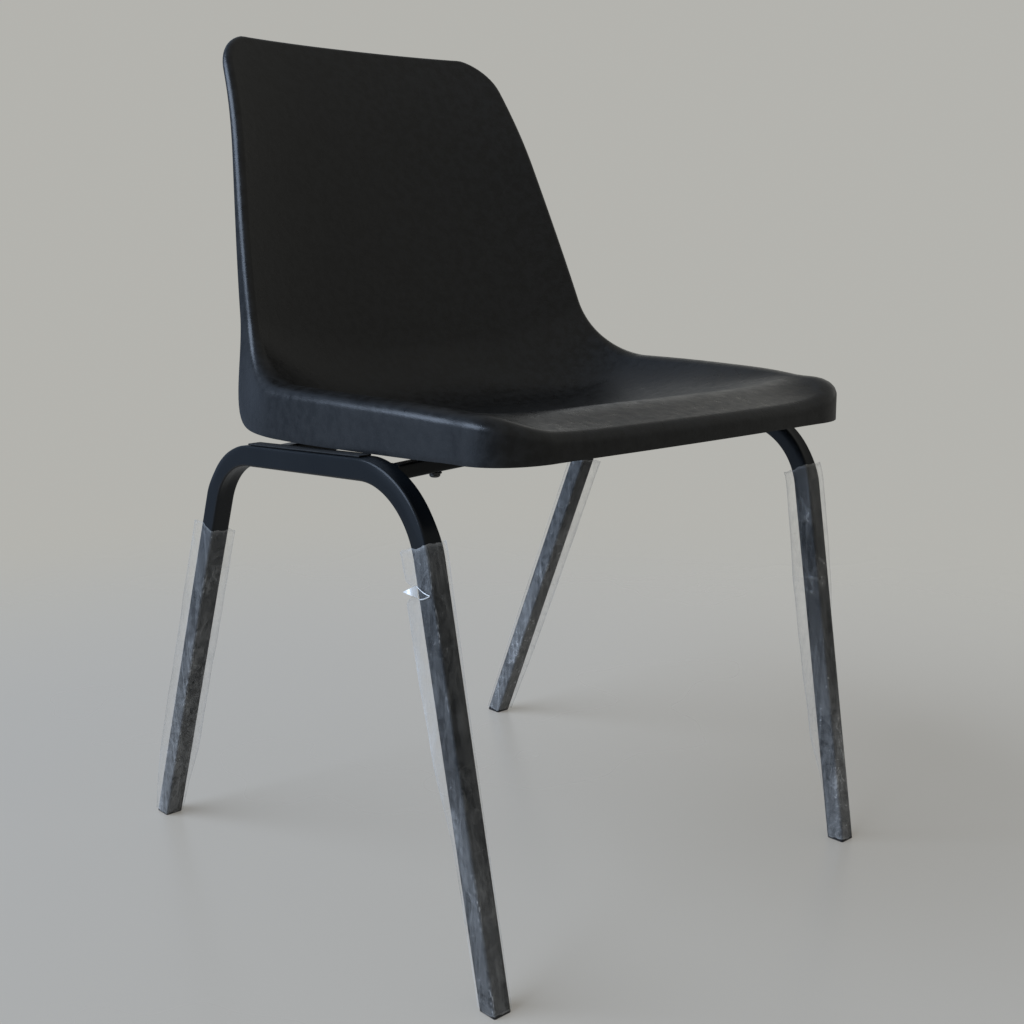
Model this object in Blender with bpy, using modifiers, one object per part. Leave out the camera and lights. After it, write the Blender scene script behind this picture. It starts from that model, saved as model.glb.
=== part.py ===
"""School chair: a one-piece plastic shell on a welded frame of square steel tube.

Metres, +Z up. The origin is on the floor, under the middle of the footprint. The sitter faces -Y and has
the right hand at -X. The legs still wear the clear film sleeves of a new chair.
"""

import math

import bmesh
import bpy
from mathutils import Vector

# Gap between pieces that touch
GAP = 0.0003

# Square tube of the side frames
TUBE = 0.019
TUBE_WALL = 0.0015
TUBE_CORNER = 0.003
BEND_RADIUS = 0.077

# Side frames, each an inverted U in a plane that leans out at the top
FOOTPRINT_DEPTH = 0.561
FRONT_LEG_ANGLE = math.radians(10.6)
REAR_LEG_ANGLE = math.radians(22.4)
RAIL_HEIGHT = 0.426
RAIL_SLOPE = math.radians(2.9)
SIDE_LEAN = math.radians(1.0)
RAIL_OUTSET = 0.0206

# Cross rails, bowed up a little between the side frames
CROSS_TUBE = 0.0127
CROSS_WALL = 0.0012
CROSS_CORNER = 0.0015
CROSS_RISE = 0.008
FRONT_CROSS_INTO_BEND = 0.023
REAR_CROSS_BEFORE_BEND = 0.012

# Pads on the rails
PAD_THICKNESS = 0.0015
PAD_WIDTH = 0.013
PAD_EDGE = 0.0006

# Feet
SOLE_THICKNESS = 0.003
PLUG_LENGTH = 0.025
PLUG_CLEARANCE = 0.0003

# Film sleeves: the creases of the flat tubing stand out as two fins
FILM = 0.0004
SLEEVE_GAP = 0.0006
SLEEVE_LIFT = 0.0015
FIN_LONG = 0.010
FIN_SHORT = 0.004
FIN_THICKNESS = 0.0016
FRONT_RIGHT_SLEEVE_TOP = 0.380
FRONT_LEFT_SLEEVE_TOP = 0.386
REAR_RIGHT_SLEEVE_TOP = 0.346
REAR_LEFT_SLEEVE_TOP = 0.360

# Shell: plan, to where the rolled edge starts
SEAT_HALF_WIDTH = 0.231
FRONT_HALF_WIDTH = 0.2135
ELBOW_HALF_WIDTH = 0.2212
TOP_HALF_WIDTH = 0.1645
SHELL_FRONT = 0.2565
FRONT_BOW = 0.005
WIDEST_SETBACK = 0.226
FRONT_CORNER_RADIUS = 0.0245
TOP_CORNER_RADIUS = 0.033

# Shell: side view
SHELL_WALL = 0.004
RIM_DEPTH = 0.0406
SHELL_HEIGHT = 0.3645
BACK_ANGLE = math.radians(18.8)
RIM_ELBOW_Y = 0.078
RIM_ELBOW_RADIUS = 0.090
PAN_ELBOW_RADIUS = 0.090
PAN_CLEARANCE = 0.006
PAN_SLOPE = math.radians(4.7)
BACK_HOLLOW = 0.032
FRONT_DROOP_RADIUS = 0.42
RIM_DROOP_LENGTH = 0.096
PAN_DROOP_LENGTH = 0.066
TOP_FLARE_RADIUS = 0.37
RIM_FLARE_LENGTH = 0.120
PAN_FLARE_LENGTH = 0.085
SEAT_SECTION_POWER = 4.0
BACK_SECTION_POWER = 2.2

# Shell: rolled edge and skirt
SEAT_ROLL_RADIUS = 0.0095
BACK_ROLL_RADIUS = 0.0065
BACK_SKIRT = 0.0165
TOP_SKIRT = 0.0068
SKIRT_BACK_ANGLE = math.radians(11.5)
SKIRT_CORNER_POWER = 4.5
SKIRT_DRAFT = math.radians(1.0)
EDGE_SLOPE = math.radians(0.8)
ROLL_SHARE_OF_SKIRT = 0.9

# Screw bosses under the shell, and their screws
BOSS_INSET = 0.033
BOSS_RADIUS = 0.012
BOSS_HOLE_DEPTH = 0.011
SCREW_RADIUS = 0.0024
SCREW_CLEARANCE = 0.0003
SCREW_BITE = 0.009
SCREW_HEAD_RADIUS = 0.0047
SCREW_HEAD_HEIGHT = 0.0031
WASHER_RADIUS = 0.0060
WASHER_THICKNESS = 0.0012

# Facets
CORNER_STEPS = 2
BEND_STEPS = 8
CROSS_STEPS = 8
ROUND_STEPS = 16
SHELL_COLUMNS = 22
SHELL_CORNER_ROWS = 4
SHELL_RUN_ROWS = 8
ROLL_STEPS = 4
SKIRT_STEPS = 2

SIDES = {"right": -1, "left": 1}
ENDS = ("front", "rear")


class Bend:
    """A straight run, an arc and a straight run in the YZ plane, walked with a value from 0 to 3."""

    def __init__(self, start, corner, end, radius):
        corner = Vector(corner)
        self.start = Vector(start)
        self.end = Vector(end)
        back = (self.start - corner).normalized()
        ahead = (self.end - corner).normalized()
        half = back.angle(ahead) / 2
        self.arc_start = corner + back * radius / math.tan(half)
        self.arc_end = corner + ahead * radius / math.tan(half)
        self.centre = corner + (back + ahead).normalized() * radius / math.sin(half)
        first = self.arc_start - self.centre
        last = self.arc_end - self.centre
        self.radius = radius
        self.first_angle = math.atan2(first.y, first.x)
        turn = math.atan2(last.y, last.x) - self.first_angle
        self.turn = math.remainder(turn, math.tau)
        self.lengths = (
            (self.arc_start - self.start).length,
            radius * abs(self.turn),
            (self.end - self.arc_end).length,
        )

    def at(self, v):
        if v <= 1:
            return self.start.lerp(self.arc_start, v)
        if v >= 2:
            return self.arc_end.lerp(self.end, v - 2)
        angle = self.first_angle + self.turn * (v - 1)
        return self.centre + self.radius * Vector((math.cos(angle), math.sin(angle)))

    def arc(self, steps):
        return [self.at(1 + step / steps) for step in range(steps + 1)]

    def walked(self, v):
        """Length from the start to v."""
        return sum(length * min(max(v - run, 0), 1) for run, length in enumerate(self.lengths))

    def value_at(self, distance):
        """The value v at a length from the start."""
        v = 0.0
        for length in self.lengths:
            v += min(max(distance / length, 0), 1)
            distance -= length
        return v


def ease(start, end, x):
    """0 before start, 1 after end, and smooth between."""
    share = min(max((x - start) / (end - start), 0), 1)
    return share * share * (3 - 2 * share)


def mix(a, b, share):
    return a + (b - a) * share


def smooth_line(knots, x):
    """Value at x on a smooth line through (place, value) knots, which doesn't overshoot them."""
    slopes = [(b[1] - a[1]) / (b[0] - a[0]) for a, b in zip(knots, knots[1:])]
    tangents = [slopes[0]]
    for before, after in zip(slopes, slopes[1:]):
        same_way = before * after > 0
        tangents.append(2 * before * after / (before + after) if same_way else 0.0)
    tangents.append(slopes[-1])
    index = max(i for i in range(len(knots) - 1) if i == 0 or x >= knots[i][0])
    (x0, y0), (x1, y1) = knots[index], knots[index + 1]
    width = x1 - x0
    u = (x - x0) / width
    start_part = (1 + 2 * u) * (1 - u) ** 2 * y0 + u * (1 - u) ** 2 * width * tangents[index]
    end_part = u * u * (3 - 2 * u) * y1 + u * u * (u - 1) * width * tangents[index + 1]
    return start_part + end_part


# Lines of the frame that other pieces take their place from

def rail_z(y):
    return RAIL_HEIGHT - math.tan(RAIL_SLOPE) * y


def leg_corner(foot_y, run):
    """Where a leg's centreline meets the rail's. The leg moves run along Y for each metre up."""
    slope = math.tan(RAIL_SLOPE)
    height = (RAIL_HEIGHT - slope * foot_y) / (1 + slope * run)
    return foot_y + run * height, height


FRONT_FOOT_Y = -(FOOTPRINT_DEPTH / 2 - TUBE / 2 / math.cos(FRONT_LEG_ANGLE))
REAR_FOOT_Y = FOOTPRINT_DEPTH / 2 - TUBE / 2 / math.cos(REAR_LEG_ANGLE)
FRONT_CORNER = leg_corner(FRONT_FOOT_Y, math.tan(FRONT_LEG_ANGLE))
REAR_CORNER = leg_corner(REAR_FOOT_Y, -math.tan(REAR_LEG_ANGLE))
FRONT_BEND = Bend((FRONT_FOOT_Y, 0), FRONT_CORNER, REAR_CORNER, BEND_RADIUS)
REAR_BEND = Bend((REAR_FOOT_Y, 0), REAR_CORNER, FRONT_CORNER, BEND_RADIUS)
FOOT_HALF_TRACK = SEAT_HALF_WIDTH + RAIL_OUTSET - RAIL_HEIGHT * math.tan(SIDE_LEAN)


def bend_z(bend, y):
    """Height of a bend's arc at y."""
    return bend.centre.y + math.sqrt(bend.radius**2 - (y - bend.centre.x) ** 2)


FRONT_CROSS_Y = FRONT_BEND.arc_end.x - FRONT_CROSS_INTO_BEND
REAR_CROSS_Y = REAR_BEND.arc_end.x - REAR_CROSS_BEFORE_BEND
CROSS_PLACES = {
    "front": (FRONT_CROSS_Y, bend_z(FRONT_BEND, FRONT_CROSS_Y)),
    "rear": (REAR_CROSS_Y, rail_z(REAR_CROSS_Y)),
}


def cross_half_length(end):
    """Half the length of a cross rail's centreline, to the side frames' centres."""
    return FOOT_HALF_TRACK + CROSS_PLACES[end][1] * math.tan(SIDE_LEAN)


def cross_z(end, x):
    """Height of a cross rail's centreline."""
    return CROSS_PLACES[end][1] + CROSS_RISE * (1 - (x / cross_half_length(end)) ** 2)


# Lines of the shell, which stands on the pads and clears the cross rails

PAD_FRONT_Y = FRONT_BEND.arc_end.x
PAD_REAR_Y = REAR_BEND.arc_end.x
PAD_RISE = (TUBE / 2 + GAP + PAD_THICKNESS) / math.cos(RAIL_SLOPE)
EDGE_HEIGHT = rail_z(PAD_FRONT_Y) + PAD_RISE + GAP
RIM_Z = EDGE_HEIGHT + RIM_DEPTH
TOP_Z = EDGE_HEIGHT + SHELL_HEIGHT
PAN_HEIGHT = cross_z("rear", 0) + CROSS_TUBE / 2 + PAN_CLEARANCE + SHELL_WALL


def pan_z(y):
    """The seat's centre line."""
    return PAN_HEIGHT + math.tan(PAN_SLOPE) * (REAR_CROSS_Y - y)


def back_y(z, hollow):
    """The back's straight line in side view, so far behind the rim's."""
    return RIM_ELBOW_Y + hollow + math.tan(BACK_ANGLE) * (z - RIM_Z)


def pan_corner():
    """Where the seat's and the back's centre lines would meet."""
    slope = math.tan(PAN_SLOPE)
    lean = math.tan(BACK_ANGLE)
    z = (pan_z(0) - slope * (RIM_ELBOW_Y + BACK_HOLLOW - lean * RIM_Z)) / (1 + slope * lean)
    return back_y(z, BACK_HOLLOW), z


RIM = Bend((-SHELL_FRONT, RIM_Z), (RIM_ELBOW_Y, RIM_Z), (back_y(TOP_Z, 0), TOP_Z), RIM_ELBOW_RADIUS)
PAN = Bend((-SHELL_FRONT, pan_z(-SHELL_FRONT)), pan_corner(), (back_y(TOP_Z, BACK_HOLLOW), TOP_Z),
           PAN_ELBOW_RADIUS)
RIM_LENGTH = sum(RIM.lengths)
WIDTHS = [
    (0.0, FRONT_HALF_WIDTH),
    (WIDEST_SETBACK, SEAT_HALF_WIDTH),
    (RIM.walked(1.5), ELBOW_HALF_WIDTH),
    (RIM_LENGTH, TOP_HALF_WIDTH),
]


def droop(y, length):
    """How far the seat falls away over the last length before its front."""
    ahead = max(0.0, length - SHELL_FRONT - y)
    return FRONT_DROOP_RADIUS - math.sqrt(FRONT_DROOP_RADIUS**2 - ahead**2)


def round_inset(distance, radius):
    """How far a rounded corner draws the side in, at a distance from the corner's end."""
    short = max(0.0, radius - distance)
    return radius - math.sqrt(radius**2 - short**2)


def outline_half_width(along):
    """Half-width of the surface, with its rounded corners, at a length along the rim from the front."""
    full = smooth_line(WIDTHS, along)
    front = round_inset(along, FRONT_CORNER_RADIUS)
    return full - front - round_inset(RIM_LENGTH - along, TOP_CORNER_RADIUS)


def flare(along, length):
    """How far the back bends rearwards over the last length before its top."""
    return max(0.0, length + along - RIM_LENGTH) ** 2 / (2 * TOP_FLARE_RADIUS)


def surface(x, along):
    """Point of the sitting surface."""
    v = RIM.value_at(along)
    pan = PAN.at(v)
    rim = RIM.at(v)
    pan += Vector((flare(along, PAN_FLARE_LENGTH), -droop(pan.x, PAN_DROOP_LENGTH)))
    rim += Vector((flare(along, RIM_FLARE_LENGTH), -droop(rim.x, RIM_DROOP_LENGTH)))
    power = mix(SEAT_SECTION_POWER, BACK_SECTION_POWER, ease(1, 2, v))
    aside = abs(x) / smooth_line(WIDTHS, along)
    y, z = pan.lerp(rim, aside**power)
    bow = FRONT_BOW * max(0.0, 1 - along / WIDEST_SETBACK) ** 2 * (1 - aside**2)
    return Vector((x, y - bow, z))


def edge_z(y):
    """Height of the skirt's lower edge under the seat, which falls a little to the rear."""
    return EDGE_HEIGHT - math.tan(EDGE_SLOPE) * (y - PAD_FRONT_Y)


def surface_normal(x, along, step=0.001):
    """Direction from the surface towards the sitter."""
    across = surface(x + step, along) - surface(x - step, along)
    up = surface(x, along + step) - surface(x, along - step)
    return across.cross(up).normalized()


def seat_z(x, y):
    """Height of the sitting surface over a point of the floor, found by halving."""
    low, high = 0.0, RIM.walked(1.6)
    for _ in range(40):
        middle = (low + high) / 2
        if surface(x, middle).y < y:
            low = middle
        else:
            high = middle
    return surface(x, low).z


def skirt_depth(v, down, drop):
    """How far down the skirt reaches from the rim: to its level edge or to its edge behind the back, whichever is
    nearer, with a rounded corner between the two. The drop is the height of the rim over the level edge."""
    if v >= 2:
        return mix(TOP_SKIRT, BACK_SKIRT, (3 - v) ** 2)
    behind = Vector((math.cos(SKIRT_BACK_ANGLE), -math.sin(SKIRT_BACK_ANGLE)))
    normal_to_back = Vector((math.cos(BACK_ANGLE), -math.sin(BACK_ANGLE)))
    edge_start = RIM.arc_end + BACK_SKIRT * normal_to_back
    to_back = (edge_start - RIM.at(v)).dot(behind) / down.yz.dot(behind)
    to_level = drop / -down.z
    power = SKIRT_CORNER_POWER
    return (to_level**-power + to_back**-power) ** (-1 / power)


def edge_rings(point, tangent, normal, v):
    """The rolled edge and the skirt that follow one point of the surface's border, outwards and down."""
    outward = tangent.cross(normal).normalized()
    turned = abs(RIM.turn) * min(max(v - 1, 0), 1)
    down = Vector((0, math.sin(turned), -math.cos(turned)))
    skirt = skirt_depth(v, down, point.z - edge_z(point.y))
    on_back = ease(1, 2, v)
    out = (outward - outward.dot(down) * down).normalized()
    rise = math.atan2(-outward.dot(down), outward.dot(out))
    limit = ROLL_SHARE_OF_SKIRT * skirt / math.cos(rise)
    radius = min(mix(SEAT_ROLL_RADIUS, BACK_ROLL_RADIUS, on_back), limit)
    ring = []
    for step in range(1, ROLL_STEPS + 1):
        angle = mix(-rise, math.pi / 2, step / ROLL_STEPS)
        aside = math.sin(angle) + math.sin(rise)
        below = math.cos(rise) - math.cos(angle)
        ring.append(point + radius * (aside * out + below * down))
    straight = skirt - radius * math.cos(rise)
    for step in range(1, SKIRT_STEPS + 1):
        depth = straight * step / SKIRT_STEPS
        ring.append(ring[ROLL_STEPS - 1] + depth * (down + math.tan(SKIRT_DRAFT) * out))
    return ring


def shell_rows():
    """Lengths along the rim at which the surface has a row of points, closer at the rounded corners."""
    quarter = [1 - math.cos(math.pi / 2 * step / SHELL_CORNER_ROWS) for step in range(SHELL_CORNER_ROWS)]
    rows = [FRONT_CORNER_RADIUS * share for share in quarter]
    stops = [FRONT_CORNER_RADIUS, RIM.walked(1), RIM.walked(2), RIM_LENGTH - TOP_CORNER_RADIUS]
    for start, end in zip(stops, stops[1:]):
        rows += [mix(start, end, step / SHELL_RUN_ROWS) for step in range(SHELL_RUN_ROWS)]
    rows.append(stops[-1])
    return rows + [RIM_LENGTH - TOP_CORNER_RADIUS * share for share in reversed(quarter)]


def clear_scene():
    for obj in list(bpy.data.objects):
        bpy.data.objects.remove(obj, do_unlink=True)


def new_collection(name):
    collection = bpy.data.collections.new(name)
    bpy.context.scene.collection.children.link(collection)
    return collection


def new_material(name, color, roughness, metallic=0.0, transmission=0.0):
    material = bpy.data.materials.new(name)
    material.use_nodes = True
    shader = material.node_tree.nodes["Principled BSDF"]
    shader.inputs["Base Color"].default_value = (*color, 1)
    shader.inputs["Roughness"].default_value = roughness
    shader.inputs["Metallic"].default_value = metallic
    shader.inputs["Transmission Weight"].default_value = transmission
    return material


clear_scene()
CHAIR = new_collection("school_chair")
CUTTERS = new_collection("cutters")
SHELL_PLASTIC = new_material("black_polypropylene", (0.018, 0.018, 0.019), 0.5)
FRAME_PAINT = new_material("charcoal_powder_coat", (0.040, 0.048, 0.058), 0.42)
FOOT_PLASTIC = new_material("black_foot_plastic", (0.015, 0.015, 0.016), 0.6)
PAD_RUBBER = new_material("black_rubber", (0.020, 0.020, 0.020), 0.8)
ZINC = new_material("zinc_plate", (0.62, 0.62, 0.60), 0.35, metallic=1.0)
CLEAR_FILM = new_material("clear_film", (0.90, 0.91, 0.92), 0.2, transmission=1.0)


def add_object(name, mesh, material, parent=None):
    obj = bpy.data.objects.new(name, mesh)
    CHAIR.objects.link(obj)
    mesh.materials.append(material)
    obj.parent = parent
    return obj


def add_cutter(name, mesh, parent=None):
    obj = bpy.data.objects.new(name, mesh)
    CUTTERS.objects.link(obj)
    obj.hide_render = True
    obj.display_type = "WIRE"
    obj.parent = parent
    return obj


def boolean(obj, other, operation):
    modifier = obj.modifiers.new(operation.lower() + "_" + other.name, "BOOLEAN")
    modifier.operation = operation
    modifier.object = other


def bmesh_mesh(name, build):
    """Mesh made by a function that fills a bmesh."""
    work = bmesh.new()
    build(work)
    bmesh.ops.recalc_face_normals(work, faces=work.faces)
    mesh = bpy.data.meshes.new(name)
    work.to_mesh(mesh)
    work.free()
    return mesh


def box_mesh(name, size):
    def build(work):
        bmesh.ops.create_cube(work, size=1)
        bmesh.ops.scale(work, vec=size, verts=work.verts)
    return bmesh_mesh(name, build)


def cylinder_mesh(name, radius, low, high):
    def build(work):
        bmesh.ops.create_cone(work, cap_ends=True, segments=ROUND_STEPS, radius1=radius, radius2=radius,
                              depth=high - low)
        bmesh.ops.translate(work, vec=(0, 0, (low + high) / 2), verts=work.verts)
    return bmesh_mesh(name, build)


def smooth_sides(mesh, sharp_angle=math.radians(35)):
    mesh.shade_smooth()
    mesh.set_sharp_from_angle(angle=sharp_angle)


def rounded_square(side, corner):
    """Closed outline of a square with rounded corners, from its +X +Y corner round."""
    points = []
    inner = side / 2 - corner
    for quarter in range(4):
        middle = math.pi / 4 + quarter * math.pi / 2
        centre_x = math.copysign(inner, math.cos(middle))
        centre_y = math.copysign(inner, math.sin(middle))
        for step in range(CORNER_STEPS + 1):
            angle = middle + math.pi / 2 * (step / CORNER_STEPS - 0.5)
            points.append((centre_x + corner * math.cos(angle), centre_y + corner * math.sin(angle)))
    return points


def swept_tube(name, path, section, wall, material):
    """Hollow tube: a closed section carried along a path in the object's own XY plane."""
    outline_data = bpy.data.curves.new(name + "_section", "CURVE")
    outline_spline = outline_data.splines.new("POLY")
    outline_spline.points.add(len(section) - 1)
    for point, place in zip(outline_spline.points, section):
        point.co = (*place, 0, 1)
    outline_spline.use_cyclic_u = True
    outline = add_cutter(name + "_section", outline_data)
    guide_data = bpy.data.curves.new(name + "_guide", "CURVE")
    guide_data.dimensions = "3D"
    guide_data.twist_mode = "Z_UP"
    guide_data.bevel_mode = "OBJECT"
    guide_data.bevel_object = outline
    guide_spline = guide_data.splines.new("POLY")
    guide_spline.points.add(len(path) - 1)
    for point, place in zip(guide_spline.points, path):
        point.co = (*place, 0, 1)
    guide = add_cutter(name + "_guide", guide_data)
    graph = bpy.context.evaluated_depsgraph_get()
    mesh = bpy.data.meshes.new_from_object(guide.evaluated_get(graph))
    mesh.name = name
    mesh.flip_normals()
    bpy.data.objects.remove(guide)
    bpy.data.objects.remove(outline)
    smooth_sides(mesh)
    tube = add_object(name, mesh, material)
    solidify = tube.modifiers.new("wall", "SOLIDIFY")
    solidify.thickness = wall
    solidify.offset = -1
    solidify.use_even_offset = True
    return tube


# How far tubes and sleeves run on below the floor before they are cut level
BELOW_FLOOR = 0.02

# From the object's own XY plane to a side frame's plane, Y forward and back and Z up
STAND_UP = (math.pi / 2, 0, math.pi / 2)


def side_plane(side):
    """Empty on the floor under a side frame, turned to its lean: its YZ plane holds the tube's centreline."""
    empty = bpy.data.objects.new("plane_" + side, None)
    CHAIR.objects.link(empty)
    empty.location.x = SIDES[side] * FOOT_HALF_TRACK
    empty.rotation_euler.y = SIDES[side] * SIDE_LEAN
    return empty


def leg_direction(end):
    """Unit vector up a leg, as (y, z)."""
    bend = FRONT_BEND if end == "front" else REAR_BEND
    return (bend.arc_start - bend.start).normalized()


def foot_point(end):
    return Vector((FRONT_FOOT_Y if end == "front" else REAR_FOOT_Y, 0))


def add_side_frame(side, plane, floor):
    path = [foot_point("front") - BELOW_FLOOR * leg_direction("front")]
    path += FRONT_BEND.arc(BEND_STEPS)
    path += reversed(REAR_BEND.arc(BEND_STEPS))
    path.append(foot_point("rear") - BELOW_FLOOR * leg_direction("rear"))
    section = rounded_square(TUBE, TUBE_CORNER)
    frame = swept_tube("side_frame_" + side, path, section, TUBE_WALL, FRAME_PAINT)
    frame.parent = plane
    frame.rotation_euler = STAND_UP
    boolean(frame, floor, "DIFFERENCE")


def add_foot(end, side):
    """Plastic insert: a sole as wide as the tube, cut level, and a plug up the tube."""
    tilt = SIDES[side] * math.tan(SIDE_LEAN)
    axis = leg_direction(end)
    run = axis.x / axis.y
    stretch = 1 / axis.y
    bore = TUBE - 2 * TUBE_WALL - 2 * PLUG_CLEARANCE
    bore_corner = max(TUBE_CORNER - TUBE_WALL, PLUG_CLEARANCE)
    outer = rounded_square(TUBE, TUBE_CORNER)
    inner = rounded_square(bore, bore_corner)
    rings = [(outer, 0), (outer, SOLE_THICKNESS), (inner, SOLE_THICKNESS), (inner, PLUG_LENGTH)]
    centre = foot_point(end)
    half_track = SIDES[side] * FOOT_HALF_TRACK

    def build(work):
        loops = []
        for section, z in rings:
            place = [(half_track + z * tilt + across, centre.x + z * run + along * stretch, z)
                     for across, along in section]
            loops.append([work.verts.new(point) for point in place])
        for low, high in zip(loops, loops[1:]):
            for i, vert in enumerate(low):
                work.faces.new((low[i - 1], vert, high[i], high[i - 1]))
        work.faces.new(loops[0])
        work.faces.new(loops[-1])
    mesh = bmesh_mesh(f"foot_{end}_{side}", build)
    smooth_sides(mesh)
    add_object(mesh.name, mesh, FOOT_PLASTIC)


def film_section(first_fin, second_fin):
    """Outline of a sleeve round the tube, with a fin at two opposite corners."""
    half = TUBE / 2 + SLEEVE_GAP
    thick = FIN_THICKNESS / math.sqrt(2)
    reach_a = half + first_fin / math.sqrt(2)
    reach_b = half + second_fin / math.sqrt(2)
    return [
        (half - thick, -half), (reach_a - thick, -reach_a), (reach_a, thick - reach_a), (half, thick - half),
        (half, half), (thick - half, half), (thick - reach_b, reach_b), (-reach_b, reach_b - thick),
        (-half, half - thick), (-half, -half),
    ]


def sleeve_path(end, top):
    """The tube's centreline from below the floor to the sleeve's top."""
    bend = FRONT_BEND if end == "front" else REAR_BEND
    axis = leg_direction(end)
    path = [foot_point(end) - axis * BELOW_FLOOR]
    for point in bend.arc(BEND_STEPS):
        if point.y >= top:
            share = (top - path[-1].y) / (point.y - path[-1].y)
            path.append(path[-1].lerp(point, share))
            break
        path.append(point)
    return path


def add_sleeve(end, side, plane, top, floor):
    # The creases lie at the corners towards -X +Y and +X -Y, and the wider fin is the one at -X +Y,
    # but for the rear left leg.
    long_first = (end, side) != ("rear", "left")
    fins = (FIN_LONG, FIN_SHORT) if long_first else (FIN_SHORT, FIN_LONG)
    section = film_section(*fins)
    sleeve = swept_tube(f"leg_sleeve_{end}_{side}", sleeve_path(end, top), section, FILM, CLEAR_FILM)
    sleeve.parent = plane
    sleeve.rotation_euler = STAND_UP
    boolean(sleeve, floor, "DIFFERENCE")


def add_cross_rail(end, ends_cut, holes):
    half = cross_half_length(end)
    y, z = CROSS_PLACES[end]
    xs = [mix(-half, half, step / CROSS_STEPS) for step in range(CROSS_STEPS + 1)]
    path = [(x, cross_z(end, x) - z) for x in xs]
    section = rounded_square(CROSS_TUBE, CROSS_CORNER)
    rail = swept_tube("cross_rail_" + end, path, section, CROSS_WALL, FRAME_PAINT)
    rail.location = (0, y, z)
    rail.rotation_euler.x = math.pi / 2
    for cutter in ends_cut + holes:
        boolean(rail, cutter, "DIFFERENCE")


def add_end_cutter(side, plane):
    """Block that trims the cross rails where they meet a side frame's inner face."""
    depth = 0.06
    cutter = add_cutter("inner_face_" + side, box_mesh("inner_face_" + side, (depth, FOOTPRINT_DEPTH, RAIL_HEIGHT)),
                        plane)
    cutter.location = (SIDES[side] * (depth / 2 - TUBE / 2 - GAP), 0, RAIL_HEIGHT)
    return cutter


def add_floor_cutter(name, height):
    """Block up to a height, to cut tubes and sleeves level."""
    depth = 0.1
    margin = 2 * (TUBE + FIN_LONG)
    size = (2 * FOOT_HALF_TRACK + margin, FOOTPRINT_DEPTH + margin, depth)
    cutter = add_cutter(name, box_mesh(name, size))
    cutter.location.z = height - depth / 2
    return cutter


def add_pad(side, plane):
    length = (PAD_REAR_Y - PAD_FRONT_Y) / math.cos(RAIL_SLOPE)
    mesh = box_mesh("rail_pad_" + side, (PAD_WIDTH, length, PAD_THICKNESS))
    pad = add_object(mesh.name, mesh, PAD_RUBBER, plane)
    middle_y = (PAD_FRONT_Y + PAD_REAR_Y) / 2
    lift = TUBE / 2 + GAP + PAD_THICKNESS / 2
    pad.location = (0, middle_y + lift * math.sin(RAIL_SLOPE), rail_z(middle_y) + lift * math.cos(RAIL_SLOPE))
    pad.rotation_euler.x = -RAIL_SLOPE
    bevel = pad.modifiers.new("soft_edges", "BEVEL")
    bevel.width = PAD_EDGE
    bevel.segments = 2


def boss_place(end, side):
    return SIDES[side] * (SEAT_HALF_WIDTH - BOSS_INSET), CROSS_PLACES[end][0]


def boss_foot(end):
    """Height of a boss's lower face, just clear of the bowed cross rail."""
    inner_side = SEAT_HALF_WIDTH - BOSS_INSET - BOSS_RADIUS
    return cross_z(end, inner_side) + CROSS_TUBE / 2 + GAP


def add_boss(end, side):
    """Round boss whose top ends half-way through the shell's wall."""
    x, y = boss_place(end, side)
    low = boss_foot(end)
    mesh = cylinder_mesh(f"boss_{end}_{side}", BOSS_RADIUS, low, low + BOSS_RADIUS)
    for vert in mesh.vertices:
        if vert.co.z > low + BOSS_RADIUS / 2:
            vert.co.z = seat_z(x + vert.co.x, y + vert.co.y) - SHELL_WALL / 2
    boss = add_cutter(mesh.name, mesh)
    boss.location = (x, y, 0)
    return boss


def add_screw_hole(end, side):
    """Straight hole through the cross rail and up into the boss."""
    x, y = boss_place(end, side)
    low = cross_z(end, x) - CROSS_TUBE
    mesh = cylinder_mesh(f"screw_hole_{end}_{side}", SCREW_RADIUS + SCREW_CLEARANCE, low,
                         boss_foot(end) + BOSS_HOLE_DEPTH)
    hole = add_cutter(mesh.name, mesh)
    hole.location = (x, y, 0)
    return hole


def add_turned(name, profile, closed, material):
    """Turned piece: a profile at +X, top to bottom, swept round the Z axis."""
    mesh = bpy.data.meshes.new(name)
    last = len(profile)
    edges = [(i, (i + 1) % last) for i in range(last if closed else last - 1)]
    mesh.from_pydata([(x, 0, z) for x, z in profile], edges, [])
    obj = add_object(name, mesh, material)
    screw = obj.modifiers.new("turn", "SCREW")
    screw.steps = ROUND_STEPS
    screw.render_steps = ROUND_STEPS
    screw.use_merge_vertices = True
    screw.merge_threshold = 0.00001
    return obj


def add_fastener(end, side):
    """Pan head screw with its washer, under the cross rail."""
    x, y = boss_place(end, side)
    tilt = 2 * CROSS_RISE * abs(x) / cross_half_length(end) ** 2
    rail_low = cross_z(end, x) - CROSS_TUBE / 2 - tilt * WASHER_RADIUS
    washer_top = rail_low - GAP
    washer_low = washer_top - WASHER_THICKNESS
    head_top = washer_low - GAP
    head_low = head_top - SCREW_HEAD_HEIGHT
    tip = boss_foot(end) + SCREW_BITE
    hole = SCREW_RADIUS + SCREW_CLEARANCE
    washer = [(hole, washer_top), (WASHER_RADIUS, washer_top), (WASHER_RADIUS, washer_low), (hole, washer_low)]
    add_turned(f"seat_washer_{end}_{side}", washer, True, ZINC).location = (x, y, 0)
    screw = [
        (0, tip),
        (SCREW_RADIUS, tip - SCREW_RADIUS),
        (SCREW_RADIUS, head_top),
        (SCREW_HEAD_RADIUS, head_top),
        (SCREW_HEAD_RADIUS, mix(head_top, head_low, 0.4)),
        (SCREW_HEAD_RADIUS * 0.7, head_low),
        (0, head_low),
    ]
    add_turned(f"seat_screw_{end}_{side}", screw, False, ZINC).location = (x, y, 0)


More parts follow.
